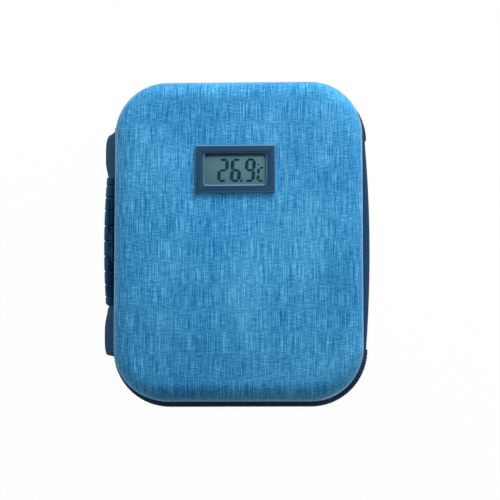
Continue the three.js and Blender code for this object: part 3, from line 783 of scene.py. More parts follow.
def woven_strap(look):
    """Heavy webbing: slanted rows that turn at the middle."""
    strap = Finish("woven_strap", sheen_weight=0.02, sheen_roughness=0.5, specular_ior_level=0.06)
    u, v = strap.cloth_place()
    row = strap.wave(u + strap.math("PINGPONG", v, 2.5 * MM) * 0.9, 1.3 * MM)
    yarn = strap.wave(v, 1.0 * MM)
    fleck = strap.grain((u, v), 1.5 * MM, 0.7 * MM)
    shade = strap.tinted(row * 0.45 + fleck * 0.55, look.webbing, 0.62, 1.45)
    strap.paint(base_color=shade, roughness=0.7 + fleck * 0.2)
    strap.bump(row + yarn * 0.5, 0.25 * MM, 0.7)
    return strap.material


@shared
def sewing_thread(look):
    """Twisted thread, a little lighter than the cloth that it holds."""
    thread = Finish("sewing_thread", sheen_weight=0.05, specular_ior_level=0.2)
    x, y, z = thread.place()
    twist = thread.wave(x + y + z * 0.7, 0.35 * MM)
    thread.paint(base_color=thread.tinted(twist, look.thread, 0.8, 1.35), roughness=0.6 + twist * 0.15)
    thread.bump(twist, 0.06 * MM, 0.6)
    return thread.material


def moulded(name, shade, roughness=0.45, grain=0.35 * MM, mottle=0.12, gloss=0.25, speckle=0.12, marks=None):
    """Moulded plastic or rubber: a fine grain, faint flow marks, handling shine and marks of its own."""
    plastic = Finish(name, specular_ior_level=gloss)
    place = plastic.place()
    fine = plastic.grain(place, grain)
    flow = plastic.grain(place, 14 * MM, 9 * MM, 14 * MM)
    ground = plastic.tinted(flow * 0.7 + fine * 0.3, shade, 1 - mottle, 1 + mottle)
    plastic.paint(
        base_color=marks(plastic, place, fine, ground) if marks else ground,
        roughness=roughness + (flow - 0.5) * 0.18 + (fine - 0.5) * speckle,
    )
    plastic.bump(fine, 0.05 * MM, 0.4)
    return plastic.material


def metal(name, shade, roughness):
    """Metal with fine brushing and slight tarnish."""
    sheet = Finish(name, metallic=1.0)
    place = sheet.place()
    brushed = sheet.grain(place, 0.4 * MM, 6 * MM, 6 * MM, detail=3)
    tarnish = sheet.grain(place, 5 * MM, detail=3)
    sheet.paint(
        base_color=sheet.tinted(tarnish, shade, 0.75, 1),
        roughness=roughness + (brushed - 0.5) * 0.25 + (tarnish - 0.5) * 0.2,
    )
    sheet.bump(brushed, 0.03 * MM, 0.4)
    return sheet.material


@shared
def quilted_foil():
    """Foil on foam: a pressed diamond grid with painted shade in its valleys, small creases and a satin
    shine.
    """
    foil = Finish("quilted_foil")
    x, y, z = foil.place()
    folds = [
        foil.math("ABSOLUTE", foil.math("SINE", (across + z * 0.7) * (math.pi / QUILT_PITCH)))
        for across in (x + y, x - y)
    ]
    pillow = foil.math("MINIMUM", *folds) ** 0.45
    crease = foil.grain((x, y, z), 2.2 * MM, detail=4, roughness=0.6)
    # Painted shade: the foil is darker along the pressed valleys of the quilting and lighter on the pillows
    # between.
    shade = foil.blend(pillow * 0.7 + crease * 0.3, tone(126, 132, 140), tone(206, 210, 214))
    foil.paint(base_color=shade, metallic=0.75, roughness=0.34 + crease * 0.2)
    foil.bump(pillow + crease * 0.25, 0.9 * MM, 0.55)
    return foil.material


def frosted_gel():
    """Milky moulded shell with gel inside, its colour deeper in soft random clouds."""
    gel = Finish("frosted_gel", coat_weight=0.25, coat_roughness=0.25)
    place = gel.place()
    cloud = gel.grain(place, 16 * MM, 22 * MM, 10 * MM, detail=3)
    fine = gel.grain(place, 0.5 * MM, detail=1)
    shade = gel.blend(cloud, tone(150, 202, 236), tone(196, 226, 244))
    gel.paint(base_color=shade, roughness=0.38 + fine * 0.1)
    gel.bump(cloud * 0.5 + fine * 0.2, 0.1 * MM, 0.3)
    return gel.material


def knitted_net(look):
    """A knitted net with six-sided holes, clear in its holes."""
    net = Finish("knitted_net", specular_ior_level=0.15)
    u, v = net.cloth_place()
    hole = 2.1 * MM
    rise = hole * math.sqrt(3) / 2
    first = net.wave(u, hole)
    second = net.wave(u * 0.5 + v, rise * 1.155)
    third = net.wave(u * 0.5 - v, rise * 1.155)
    solid = net.math("SUBTRACT", 2.1, first + second + third)
    yarn = net.grain((u, v), 0.4 * MM)
    shade = net.tinted(yarn, look.webbing, 0.7, 1.4)
    net.paint(base_color=shade, roughness=0.7 + yarn * 0.15, alpha=net.edge(solid, 3.0))
    net.bump(yarn + solid * 0.5, 0.15 * MM, 0.5)
    return net.material


@shared
def elastic_tape(look):
    """Ribbed elastic, gathered a little."""
    tape = Finish("elastic_tape", specular_ior_level=0.15)
    u, v = tape.cloth_place()
    rib = tape.wave(v, 0.9 * MM)
    pull = tape.wave(u + v * 0.1, 1.6 * MM)
    fleck = tape.grain((u, v), 0.8 * MM, 0.4 * MM)
    shade = tape.tinted(rib * 0.3 + fleck * 0.7, look.webbing, 0.4, 1.1)
    tape.paint(base_color=shade, roughness=0.65 + fleck * 0.2)
    tape.bump(rib + pull * 0.6, 0.2 * MM, 0.6)
    return tape.material


def circuit():
    """Green solder mask over copper tracks."""
    board = Finish("circuit_mask", coat_weight=0.3, coat_roughness=0.2)
    x, y, z = board.place()
    track = board.math("PINGPONG", x + board.math("PINGPONG", y, 4 * MM), 1.1 * MM)
    copper = board.edge(track - 0.75 * MM, 8000.0)
    fine = board.noise(x / (0.5 * MM), y / (0.5 * MM), z)
    shade = board.blend(copper, tone(20, 84, 48), tone(44, 118, 66))
    board.paint(base_color=board.blend(fine * 0.2, shade, tone(12, 60, 34)), roughness=0.4 + fine * 0.1)
    board.bump(copper, 0.03 * MM, 0.5)
    return board.material


def striped_rubber():
    """Contact strip: thin layers of carbon rubber between clear ones, stacked along it."""
    strip = Finish("striped_rubber", specular_ior_level=0.25)
    place = strip.place()
    layer = strip.wave(place[0], 0.18 * MM)
    grain = strip.grain(place, 0.1 * MM, 0.3 * MM, 0.3 * MM, detail=1)
    shade = strip.blend(layer, tone(30, 30, 34), tone(150, 140, 132))
    strip.paint(base_color=shade, roughness=0.55 + grain * 0.15)
    return strip.material


# Stage


# Each lamp's place, the point it looks at and its two sides. Its power is the setting of its name.
LAMPS = {
    "overhead": ((0.42, 0.38, 1.32), (0, 0, 0.08), (1.0, 0.9)),
    "key": ((0.18, 0.62, 0.4), (0, 0.03, 0.05), (0.5, 0.3)),
    "side": ((0.75, 0.1, 0.4), (0.06, 0, 0.06), (0.3, 0.6)),
    "near": ((-0.75, 0.05, 0.2), (-0.06, 0, 0.07), (0.3, 0.6)),
}


def lamp(name, power):
    """A soft rectangular lamp that looks at a point."""
    place, aim, size = LAMPS[name]
    data = bpy.data.lights.new(name, "AREA")
    data.shape = "RECTANGLE"
    data.size, data.size_y = size
    data.energy = power
    made = bpy.data.objects.new(name, data)
    made.location = place
    made.rotation_euler = (Vector(aim) - Vector(place)).to_track_quat("-Z", "Y").to_euler()
    bpy.context.collection.objects.link(made)


class CASE_OT_stage(bpy.types.Operator):
    """Sets the camera, the lamps, the surroundings and the floor"""

    bl_idname = "case.add_stage"
    bl_label = "Stage"

    def execute(self, context):
        studio = context.scene.studio
        data = bpy.data.cameras.new("camera")
        data.lens = studio.focal
        data.clip_end = 20
        camera = bpy.data.objects.new("camera", data)
        camera.location = studio.camera
        ahead = (Vector(studio.aim) - camera.location).normalized()
        across = ahead.cross(Vector((0, 1, 0))).normalized()
        turn = Matrix((across, across.cross(ahead), -ahead)).transposed()
        camera.rotation_euler = turn.to_euler()
        context.collection.objects.link(camera)
        context.scene.camera = camera
        context.scene.view_settings.view_transform = "Standard"
        for name in LAMPS:
            lamp(name, getattr(studio, name))
        self.surroundings(context.scene, studio)
        self.floor(studio)
        return {"FINISHED"}

    def surroundings(self, scene, studio):
        """White as the camera and the gloss see it, and a plain fill as light."""
        world = bpy.data.worlds.new("surroundings")
        world.use_nodes = True
        scene.world = world
        sky = Nodes(world.node_tree)
        light = sky.node(
            "ShaderNodeBackground", {}, {"Strength": sky.shown() * (1 - studio.fill) + studio.fill}
        )
        sky.node("ShaderNodeOutputWorld", {}, {"Surface": light.outputs[0]})

    def floor(self, studio):
        """A wide white floor that shows the object's shadow faintly."""
        floor = added("floor", bpy.ops.mesh.primitive_plane_add, size=6)
        paper = Finish("paper", roughness=0.9, base_color=(0.86, 0.86, 0.86, 1))
        white = paper.node("ShaderNodeEmission", {}, {"Strength": 1.0})
        mixed = paper.node(
            "ShaderNodeMixShader",
            {},
            {0: paper.shown() * studio.floor_white, 1: paper.shader.outputs[0], 2: white.outputs[0]},
        )
        paper.feed(paper.output.inputs["Surface"], mixed.outputs[0])
        floor.data.materials.append(paper.material)


# Covers and linings


def module_opening(room, low, high):
    """The block that cuts the thermometer's opening, with some room round its housing."""
    corner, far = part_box("lcd_panel")
    middle = (corner + far).xy / 2
    bezel_low, bezel_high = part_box("display_bezel")
    half = (bezel_high - bezel_low).xy / 2 - Vector((room, room))
    return block("opening", (*(middle - half), low), (*(middle + half), high))


class CASE_OT_covers(bpy.types.Operator):
    """Makes the cloth-covered shells of the lid and the base"""

    bl_idname = "case.add_covers"
    bl_label = "Covers"

    def execute(self, context):
        shape = context.scene.case_shape
        cloth = cover_cloth(context.scene.cloth_look)
        low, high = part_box("lid_shell")
        lid = tray("lid_cover", 0, high.z, low.z, shape.front_edge, shape.wall)
        carve(lid, module_opening(room=1.3 * MM, low=low.z, high=high.z + shape.wall))
        low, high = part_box("base_shell")
        base = tray("base_cover", 0, low.z, high.z, shape.back_edge, shape.wall)
        for piece, body in ((lid, "lid"), (base, "base")):
            soften(piece, shape.rim_softness, 3, 60)
            smooth(piece, 50)
            settle(piece, body, cloth, "shell_fabric", f"{body}_shell")
        return {"FINISHED"}


class CASE_OT_linings(bpy.types.Operator):
    """Makes the foil-faced foam linings of the base and the lid"""

    bl_idname = "case.add_linings"
    bl_label = "Linings"

    def execute(self, context):
        shape = context.scene.case_shape
        foil = quilted_foil()
        low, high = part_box("base_insulation")
        base = tray("base_lining", low.z, low.z, high.z, shape.back_edge - low.z, shape.lining)
        low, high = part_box("lid_insulation")
        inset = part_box("lid_shell")[1].z - high.z
        lid = tray("lid_lining", inset, high.z, low.z, shape.front_edge - inset, shape.lining)
        carve(lid, self.housing_opening(low.z, high.z))
        for piece, body in ((base, "base"), (lid, "lid")):
            soften(piece, shape.rim_softness, 2, 60)
            smooth(piece, 50)
            settle(piece, body, foil, "foil_foam", f"{body}_insulation")
        self.bind_collar(base, context.scene.cloth_look)
        return {"FINISHED"}

    def housing_opening(self, low, high):
        """The block that cuts room for the thermometer's housing."""
        corner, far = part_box("module_housing")
        room = Vector((0.3 * MM, 0.3 * MM))
        return block("opening", (*(corner.xy - room), low - MM), (*(far.xy + room), high + MM))

    def bind_collar(self, base, look):
        """Dark cloth on the outside of the collar that stands behind the zip."""
        base.data.materials.append(band_cloth(look))
        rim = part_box("base_shell")[1].z
        for face in base.data.polygons:
            middle = face.center
            away = middle.xy - outline.nearest_middle(middle)
            if middle.z > rim - MM and face.normal.xy.dot(away) > 0:
                face.material_index = 1


# Zip band


class CASE_OT_zip_band(bpy.types.Operator):
    """Makes the piping, the zip tapes with their stitches, and the zip's teeth"""

    bl_idname = "case.add_zip_band"
    bl_label = "Zip band"

    def execute(self, context):
        cloth = band_cloth(context.scene.cloth_look)
        thread = sewing_thread(context.scene.cloth_look)
        coil = moulded("zip_coil", tone(18, 42, 64), roughness=0.4, mottle=0.2, gloss=0.15)
        for side in ("base", "lid"):
            self.piping(side, cloth)
            self.tape(side, cloth, thread, context.scene.zip_look)
            self.teeth(side, coil, context.scene.zip_look)
        return {"FINISHED"}

    def piping(self, side, cloth):
        """A covered cord all the way round the rim."""
        low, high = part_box(f"{side}_piping")
        radius = (high.z - low.z) / 2
        section = section_curve(2 * radius, 2 * radius, radius)
        piece = sweep(f"{side}_piping_cord", section, outline.run(0, low.z + radius), True)
        smooth(piece, 80)
        settle(piece, side, cloth, "band_fabric", f"{side}_piping")

    def tape(self, side, cloth, thread, look):
        """The woven tape, tucked under the piping and the coil, and the stitches that hold it."""
        low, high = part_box(f"{side}_zip_tape")
        proud = -outline.half.x - low.x
        thickness = tuck = MM
        middle = (low.z + high.z) / 2
        section = section_curve(thickness, high.z - low.z + tuck, 0.3 * MM)
        line = outline.run(proud - thickness / 2, middle)
        piece = smooth(sweep(f"{side}_tape", section, line), 50)
        settle(piece, side, cloth, "band_fabric", f"{side}_zip_tape")
        seam = stitches(f"{side}_tape_stitches", outline.run(proud, middle), look)
        settle(seam, side, thread, "band_fabric")

    def teeth(self, side, coil, look):
        """One turn of the coil, repeated along the zip's run."""
        low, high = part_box(f"{side}_zip_coil")
        proud = -outline.half.x - low.x
        depth = 2.4 * MM
        half = look.tooth / 2
        upper = high.z + (look.reach if side == "base" else 0)
        lower = low.z - (look.reach if side == "lid" else 0)
        tooth = block("tooth", (-depth / 2, -half, lower), (depth / 2, half, upper))
        soften(tooth, 0.4 * half + 0.1 * MM, 1)
        run = outline.run(proud - depth / 2, 0)
        places = [turned(place, heading) for place, heading in spaced(run, look.pitch)]
        piece = repeat(f"{side}_zip_teeth", tooth, places)
        core = section_curve(depth * 0.7, (high.z - low.z) * 0.8, 0.3 * MM)
        middle = (low.z + high.z) / 2
        inner = sweep("core", core, outline.run(proud - depth / 2, middle))
        piece = smooth(merge(f"{side}_zip_teeth", [piece, inner]), 60)
        settle(piece, side, coil, "zip_coil", f"{side}_zip_coil")


def stitches(name, run, look, lift=0.05 * MM):
    """Stitches sunk a little into the cloth, spaced along a line."""
    stitch = brick("stitch", Vector(), Vector((look.thread, look.stitch, look.thread)) / 2)
    soften(stitch, look.thread * 0.32, 1)
    places = []
    for place, heading in spaced(run, look.stitch_pitch):
        outward = heading.cross(UP).normalized()
        places.append(turned(place + outward * lift, heading))
    return smooth(repeat(name, stitch, places), 60)


class CASE_OT_sliders(bpy.types.Operator):
    """Makes the two zip sliders and their moulded pullers"""

    bl_idname = "case.add_sliders"
    bl_label = "Zip sliders"

    def execute(self, context):
        enamel = moulded("slider_enamel", tone(24, 64, 92), roughness=0.4, mottle=0.15, gloss=0.12)
        rubber = moulded("puller_rubber", tone(26, 72, 104), roughness=0.5, gloss=0.12)
        for end in ("upper", "lower"):
            slider = rounded_copy(f"zip_slider_{end}", f"slider_body_{end}", 0.28 * MM)
            settle(slider, f"slider_{end}", enamel, "slider_metal", f"zip_slider_{end}")
            puller = self.puller(end)
            settle(puller, f"puller_{end}", rubber, "puller_plastic", f"zip_puller_{end}")
        return {"FINISHED"}

    def puller(self, end):
        """The moulded tab, with raised ribs for the fingers on its two broad faces."""
        body = rounded_copy(f"zip_puller_{end}", f"puller_tab_{end}", 0.3 * MM)
        low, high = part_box(f"zip_puller_{end}")
        sign = 1 if end == "upper" else -1
        tip = high.y if sign > 0 else low.y
        middle = (low + high) / 2
        half = Vector((1.05, 0.45, 2.3)) * MM
        first, pitch = 4 * MM, 2.6 * MM
        places = [Vector((middle.x, tip - sign * (first + pitch * row), middle.z)) for row in range(4)]
        return smooth(ribbed(f"puller_tab_{end}", body, places, half, 0.3 * MM), 45)


# Spine


class CASE_OT_spine(bpy.types.Operator):
    """Makes the cloth spine with its two rows of stitches, and the lining behind it"""

    bl_idname = "case.add_spine"
    bl_label = "Spine"

    def execute(self, context):
        look = context.scene.cloth_look
        cloth = band_cloth(look)
        thread = sewing_thread(look)
        gusset = self.leaf("spine_cloth", "spine_gusset", lift=0.4 * MM, thickness=MM, longer=0.8 * MM)
        settle(gusset, "spine", cloth, "band_fabric", "spine_gusset")
        lining = self.leaf("spine_back", "spine_lining", lift=-1.3 * MM, thickness=1.4 * MM)
        settle(lining, "spine", quilted_foil(), "foil_foam", "spine_lining")
        for row, up in (("lower", 0.1), ("upper", 0.9)):
            self.seam(row, up, thread)
        return {"FINISHED"}

    def reach(self, y, up):
        """How far the spine stands out at a place along it and a share up it."""
        shape = bpy.context.scene.case_shape
        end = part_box("spine_gusset")[1].y
        bow = shape.spine_bow * max(0, 1 - (y / end) ** 2)
        return (shape.spine_bulge + bow) * (1 - (2 * up - 1) ** 2)

    def leaf(self, name, node, lift, thickness, longer=0.0):
        """A strip whose long edges stay beside the rims while its middle bulges out."""
        low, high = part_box(node)
        half = high.y + longer
        edge = outline.half.x + lift + thickness / 2

        def place(along, up):
            y = half * (2 * along - 1)
            return (edge + self.reach(y, up), y, low.z + (high.z - low.z) * up)

        piece = cloth_over(name, (48, 12), (2 * half, high.z - low.z), place)
        thicken(piece, thickness)
        soften(piece, 0.3 * MM, 2, 60)
        return smooth(piece, 60)

    def seam(self, row, up, thread):
        """A row of stitches along the spine's cloth, a share up it."""
        low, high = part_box("spine_gusset")
        end = high.y - 1.5 * MM
        face = outline.half.x + 1.4 * MM
        height = low.z + (high.z - low.z) * up
        along = [end * (step / 12 - 1) for step in range(25)]
        run = [Vector((face + self.reach(y, up), y, height)) for y in along]
        piece = stitches(f"spine_stitches_{row}", run, bpy.context.scene.zip_look)
        settle(piece, "spine", thread, "band_fabric")


# Handle


class CASE_OT_handle(bpy.types.Operator):
    """Makes the side handle: sewn tabs, free straps and the ribbed grip"""

    bl_idname = "case.add_handle"
    bl_label = "Handle"

    def execute(self, context):
        cloth = context.scene.cloth_look
        look = context.scene.handle_look
        strap = woven_strap(cloth)
        thread = sewing_thread(cloth)
        rubber = moulded(
            "grip_rubber", look.rubber, 0.55, 0.5 * MM, mottle=0.2, gloss=0.1, marks=self.groove_marks
        )
        settle(self.grip(look), "handle", rubber, "grip_rubber", "handle_grip")
        paint("handle_core", strap)
        for end, sign in (("upper", 1), ("lower", -1)):
            tab = self.tab(end, sign, look)
            settle(tab, "base", strap, "webbing", f"handle_tab_{end}")
            seam = self.box_stitch(end, sign, look, context.scene.zip_look)
            settle(seam, "base", thread, "webbing")
            self.strap(end, sign, look, strap)
        return {"FINISHED"}

    def grooves(self):
        """The middles of the grip's grooves along it."""
        low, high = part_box("handle_grip")
        shares = (0.06, 0.155, 0.26, 0.38, 0.5, 0.62, 0.74, 0.845, 0.94)
        return [low.y + (high.y - low.y) * share for share in shares]

    def groove_marks(self, rubber, place, fine, ground):
        """Paints shade on the floors of the grooves and a painted highlight along their lower edges."""
        look = bpy.context.scene.handle_look
        width = look.groove_width

        def lines(offset, reach):
            gaps = [rubber.math("ABSOLUTE", place[1] - (middle + offset)) for middle in self.grooves()]
            nearest = reduce(lambda one, two: rubber.math("MINIMUM", one, two), gaps)
            return rubber.edge(reach - nearest, 4000.0)

        # Painted shade: the floors of the grooves are darkened as if in their own shadow.
        shaded = rubber.blend(lines(0, width * 0.45), ground, scaled(look.rubber, 0.4))
        # Painted highlight: a paler line just below each groove, where light catches its lower edge.
        painted_highlight = lines(-width * 0.7, width * 0.25) * (0.35 + fine * 0.5)
        return rubber.blend(painted_highlight, shaded, tone(92, 140, 168))

    def grip(self, look):
        """A rounded block with grooves round it and a slot in each end for the webbing."""
        low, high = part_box("handle_grip")
        piece = block("grip_sleeve", (high.x - look.grip_end, low.y, low.z), high)
        bevel_edges(piece, lambda e: abs(e.verts[0].co.y - e.verts[1].co.y) > MM, look.softness, 5)
        middles = self.grooves()
        cuts = [m + look.groove_width * share for m in middles for share in (-0.5, -0.22, 0.22, 0.5)]
        with editing(piece):
            for y in cuts:
                bpy.ops.mesh.select_all(action="SELECT")
                bpy.ops.mesh.bisect(plane_co=(0, y, 0), plane_no=(0, 1, 0))
        inner = look.groove_width * 0.3
        middle = Vector((high.x - look.grip_end / 2, (low.z + high.z) / 2))
        half = Vector((look.grip_end / 2, (high.z - low.z) / 2))
        bow = high.x - look.grip_end - low.x
        for vertex in piece.data.vertices:
            if any(abs(vertex.co.y - m) < inner for m in middles):
                vertex.co.x = middle.x + (vertex.co.x - middle.x) * (1 - look.groove_depth / half.x)
                vertex.co.z = middle.y + (vertex.co.z - middle.y) * (1 - look.groove_depth / half.y)
            along = 2 * (vertex.co.y - low.y) / (high.y - low.y) - 1
            vertex.co.x -= bow * (1 - along * along) * (high.x - vertex.co.x) / look.grip_end
        with editing(piece):
            for end, inward in ((low.y, look.slot), (high.y, -look.slot)):
                pick(piece, "FACE", level_at(end, 1))
                bpy.ops.mesh.inset(thickness=half.x - look.webbing * 0.75)
                bpy.ops.mesh.extrude_region_move(TRANSFORM_OT_translate={"value": (0, inward, 0)})
        soften(piece, 0.5 * MM, 3, 22)
        return smooth(piece, 60)

    def webbing_section(self, look):
        """The webbing's section, as wide as the core that runs through the grip."""
        low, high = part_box("handle_core")
        return section_curve(look.webbing, high.z - low.z, 0.5 * MM)

    def bend(self, look):
        """Radius of the sewn webbing's middle line round a corner, with a little room under it."""
        return outline.radius + 0.3 * MM + look.webbing / 2

    def on_corner(self, angle, look, sign):
        """A point on the sewn webbing's middle line, round a left corner by an angle."""
        low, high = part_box("handle_core")
        radius = self.bend(look)
        x = -outline.middle.x - radius * math.cos(angle)
        y = sign * (outline.middle.y + radius * math.sin(angle))
        return Vector((x, y, (low.z + high.z) / 2))

    def angles(self, sign, look):
        """The angles round the corner at which a tab starts and ends."""
        radius = self.bend(look)
        low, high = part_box(f"handle_tab_{'upper' if sign > 0 else 'lower'}")
        near = min(abs(low.y), abs(high.y)) + look.webbing / 2 * 0.35
        start = math.asin((near - outline.middle.y) / radius)
        return start, start + look.tab_length / radius

    def tab(self, end, sign, look):
        """The webbing sewn flat round a corner."""
        start, stop = self.angles(sign, look)
        line = [self.on_corner(start + (stop - start) * step / 8, look, sign) for step in range(9)]
        return smooth(sweep(f"tab_webbing_{end}", self.webbing_section(look), line), 50)

    def box_stitch(self, end, sign, look, zip_look):
        """A sewn rectangle on the tab."""
        start, stop = self.angles(sign, look)
        low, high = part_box(f"handle_tab_{end}")
        centre = Vector((-outline.middle.x, sign * outline.middle.y))

        def face(share):
            """A point on the webbing's outer face, a share of the way along the tab."""
            place = self.on_corner(start + (stop - start) * share, look, sign)
            return place.xy + (place.xy - centre).normalized() * look.webbing / 2

        edge, margin, first, posts = 0.14, 2.2 * MM, 2.5 * MM, 5
        seams = []
        for z in (low.z + margin, high.z - margin):
            run = [Vector((*face(edge + (1 - 2 * edge) * step / 8), z)) for step in range(9)]
            seams.append(stitches("row", run if sign < 0 else run[::-1], zip_look))
        rise = (high.z - low.z - 2 * first) / posts
        half = Vector((zip_look.thread, zip_look.thread, zip_look.stitch)) / 2
        for share in (edge, 1 - edge):
            stitch = brick("stitch", Vector(), half)
            soften(stitch, zip_look.thread * 0.3, 1)
            at = face(share)
            spots = [Matrix.Translation((*at, low.z + first + rise * (i + 0.5))) for i in range(posts)]
            seams.append(repeat("post", stitch, spots))
        return smooth(merge(f"tab_stitches_{end}", seams), 60)

    def strap(self, end, sign, look, material):
        """The free strap arches out past the grip and runs into the grip's end."""
        low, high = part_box("handle_grip")
        apart, sunk = 0.6 * MM, 2 * MM
        start_angle = self.angles(sign, look)[0] - apart / outline.radius
        start = self.on_corner(start_angle, look, sign)
        middle_x = high.x - look.grip_end / 2
        arch = middle_x + look.webbing * 0.15
        stop_y = (high.y if sign > 0 else low.y) - sign * sunk
        # Each knot's share of the way out to the arch, then of the way back from the grip to the tab
        shares = ((0, 1), (0.4, 0.99), (0.84, 0.96), (1.06, 0.87), (1.14, 0.72), (1.14, 0.44), (1.05, 0.14))
        wide, long = arch - start.x, start.y - stop_y
        knots = [Vector((start.x + wide * out, stop_y + long * up, start.z)) for out, up in shares]
        knots.append(Vector((middle_x, stop_y, start.z)))
        line = rounded_line(knots, 8)
        low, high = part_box("handle_core")
        half = (high.z - low.z) / 2
        piece = sweep(f"strap_{end}", self.webbing_section(look), line)
        # The lean grows from a third of itself at the grip, and ends where the strap meets the tab
        for vertex in piece.data.vertices:
            share = (vertex.co.y - stop_y) / long
            near_grip = 0.32 + 0.33 * ease(share / 0.1) + 0.35 * ease(share / 0.45)
            fade = near_grip * (1 - ease((share - 0.95) / 0.05))
            vertex.co.x += look.strap_lean * fade * (vertex.co.z - start.z) / half
        smooth(piece, 50)
        piece.data.materials.append(material)
        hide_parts(f"handle_strap_{end}")
        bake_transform(piece)


def ease(share):
    """A share from 0 to 1 with a soft start and end."""
    share = min(max(share, 0), 1)
    return share * share * (3 - 2 * share)


def rounded_line(knots, steps):
    """A smooth line through knots."""
    padded = [2 * knots[0] - knots[1]] + knots + [2 * knots[-1] - knots[-2]]
    line = []
    for a, b, c, d in zip(padded, padded[1:], padded[2:], padded[3:]):
        for step in range(steps):
            t = step / steps
            line.append(0.5 * (2 * b + (c - a) * t + (2 * a - 5 * b + 4 * c - d) * t * t
                               + (3 * b - a - 3 * c + d) * t * t * t))
    return line + [knots[-1]]


# Thermometer display

INK_HEIGHT = 0.06 * MM
SEGMENTS_LIT = {
    "0": "abcdef", "1": "bc", "2": "abged", "3": "abgcd", "4": "fgbc", "5": "afgcd",
    "6": "afgedc", "7": "abc", "8": "abcdefg", "9": "abcdfg", "C": "afed",
}


class CASE_OT_display(bpy.types.Operator):
    """Makes the display's frame, its window, its panel and the reading"""

    bl_idname = "case.add_display"
    bl_label = "Display"

    def execute(self, context):
        look = context.scene.display_look
        plastic = moulded(
            "bezel_plastic", look.bezel, 0.42, mottle=0.08, gloss=0.2, speckle=0, marks=self.rub_marks
        )
        settle(self.bezel(look), "lid", plastic, "bezel_plastic", "display_bezel")
        self.window(look)
        self.panel(look)
        ink = Finish("display_ink", base_color=(*look.ink, 1), roughness=0.5, specular_ior_level=0.05)
        settle(self.reading(look), "lid", ink.material, "lcd_glass")
        return {"FINISHED"}

    def rub_marks(self, plastic, place, grain, ground):
        """Paints the frame paler on its outer edge, faintly all round as wear and along the top as a painted
        highlight, and paints a highlight on the lip round the window, strongest below it.
        """
        x, y, z = place
        low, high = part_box("display_bezel")
        middle = (low + high) / 2
        half = (high - low) / 2
        side = plastic.math("ABSOLUTE", x - middle.x) - half.x
        end = plastic.math("ABSOLUTE", y - middle.y) - half.y
        outer = plastic.math("MAXIMUM", side, end)
        rim = plastic.edge(outer + 0.5 * MM, 4000.0)
        # The outer edge is paler faintly all round, as wear, and much paler along the top, as a painted
        # highlight.
        top = (y > high.y - 0.9 * MM) * 0.65 + 0.25
        slope = bpy.context.scene.display_look.slope_depth
        deep = plastic.edge(high.z - slope * 0.4 - z, 6000.0)
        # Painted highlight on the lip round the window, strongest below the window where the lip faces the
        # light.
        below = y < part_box("display_window")[0].y
        lip = deep * (outer < -2 * MM) * (below * 0.6 + 0.3)
        # Wear and painted highlight together, blended to one paler colour.
        painted_highlight = plastic.math("ADD", rim * top, lip, clamp=True) * (0.8 + grain * 0.2)
        return plastic.blend(painted_highlight, ground, tone(128, 168, 192))

    def bezel(self, look):
        """A flat frame with rounded corners, a soft outer edge and a sloped lip round the window."""
        low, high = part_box("display_bezel")
        piece = block("bezel_frame", low, high)
        corner = 1.0 * MM
        bevel_edges(piece, upright, corner, 5)
        inner_low, inner_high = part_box("display_window")
        room = Vector((0.15 * MM, 0.15 * MM))
        hole_low, hole_high = inner_low.xy - room, inner_high.xy + room
        hole = block("hole", (*hole_low, low.z - MM), (*hole_high, high.z + MM))
        bevel_edges(hole, upright, look.window_corner, 6)
        carve(piece, hole)
        slope = Vector((look.slope_side, look.slope_end))
        foot = high.z - look.slope_depth
        well = block("well", (*(hole_low - slope), foot), (*(hole_high + slope), high.z + 0.5 * MM))
        bevel_edges(well, upright, look.window_corner + look.slope_end, 6)
        self.taper(well, foot, (hole_low + hole_high) / 2, (hole_high - hole_low) / 2, slope)
        carve(piece, well)
        soften(piece, 0.4 * MM, 3, 50)
        return smooth(piece, 30)

    def taper(self, well, foot, middle, half, slope):
        """Draws the foot of the well in to the window's own size, so that its sides slope."""
        for vertex in well.data.vertices:
            if abs(vertex.co.z - foot) < SLACK:
                for axis in (0, 1):
                    share = (half[axis] + 0.05 * MM) / (half[axis] + slope[axis])
                    vertex.co[axis] = middle[axis] + (vertex.co[axis] - middle[axis]) * share

    def window(self, look):
        """The clear pane, with a faint haze from handling."""
        pane = block("window_pane", *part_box("display_window"))
        bevel_edges(pane, upright, look.window_corner, 6)
        smooth(soften(pane, 0.2 * MM))
        clear = Finish(
            "clear_window", base_color=(0.01, 0.02, 0.03, 1), alpha=0.04, ior=1.49, specular_ior_level=0.6
        )
        haze = clear.grain(clear.place(), 6 * MM, 4 * MM, 6 * MM, detail=3)
        clear.paint(roughness=0.06 + haze * 0.08)
        settle(pane, "lid", clear.material, "clear_window", "display_window")

    def panel(self, look):
        """The display glass: a grey-green ground with a faint grain and a painted shadow along its top edge.
        """
        glass = Finish("display_glass", specular_ior_level=0.15)
        x, y, z = glass.place()
        grain = glass.noise(x / (0.4 * MM), y / (0.4 * MM), z, detail=1)
        cloud = glass.noise(x / (16 * MM), y / (10 * MM), z, detail=2)
        ground = glass.tinted(cloud * 0.8 + grain * 0.2, look.glass, 0.88, 1.1)
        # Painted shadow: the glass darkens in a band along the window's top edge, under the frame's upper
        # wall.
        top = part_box("display_window")[1].y - 2.1 * MM
        painted_top_shadow = glass.math("SMOOTH_MIN", 1.0, glass.math("MAXIMUM", 0.0, (y - top) / (0.7 * MM)), 0.05)
        glass.paint(base_color=glass.blend(painted_top_shadow, ground, tone(34, 58, 88)), roughness=0.3 + grain * 0.1)
        panel = rounded_copy("lcd_panel", "display_panel", 0.15 * MM)
        settle(panel, "lid", glass.material, "lcd_glass", "lcd_panel")

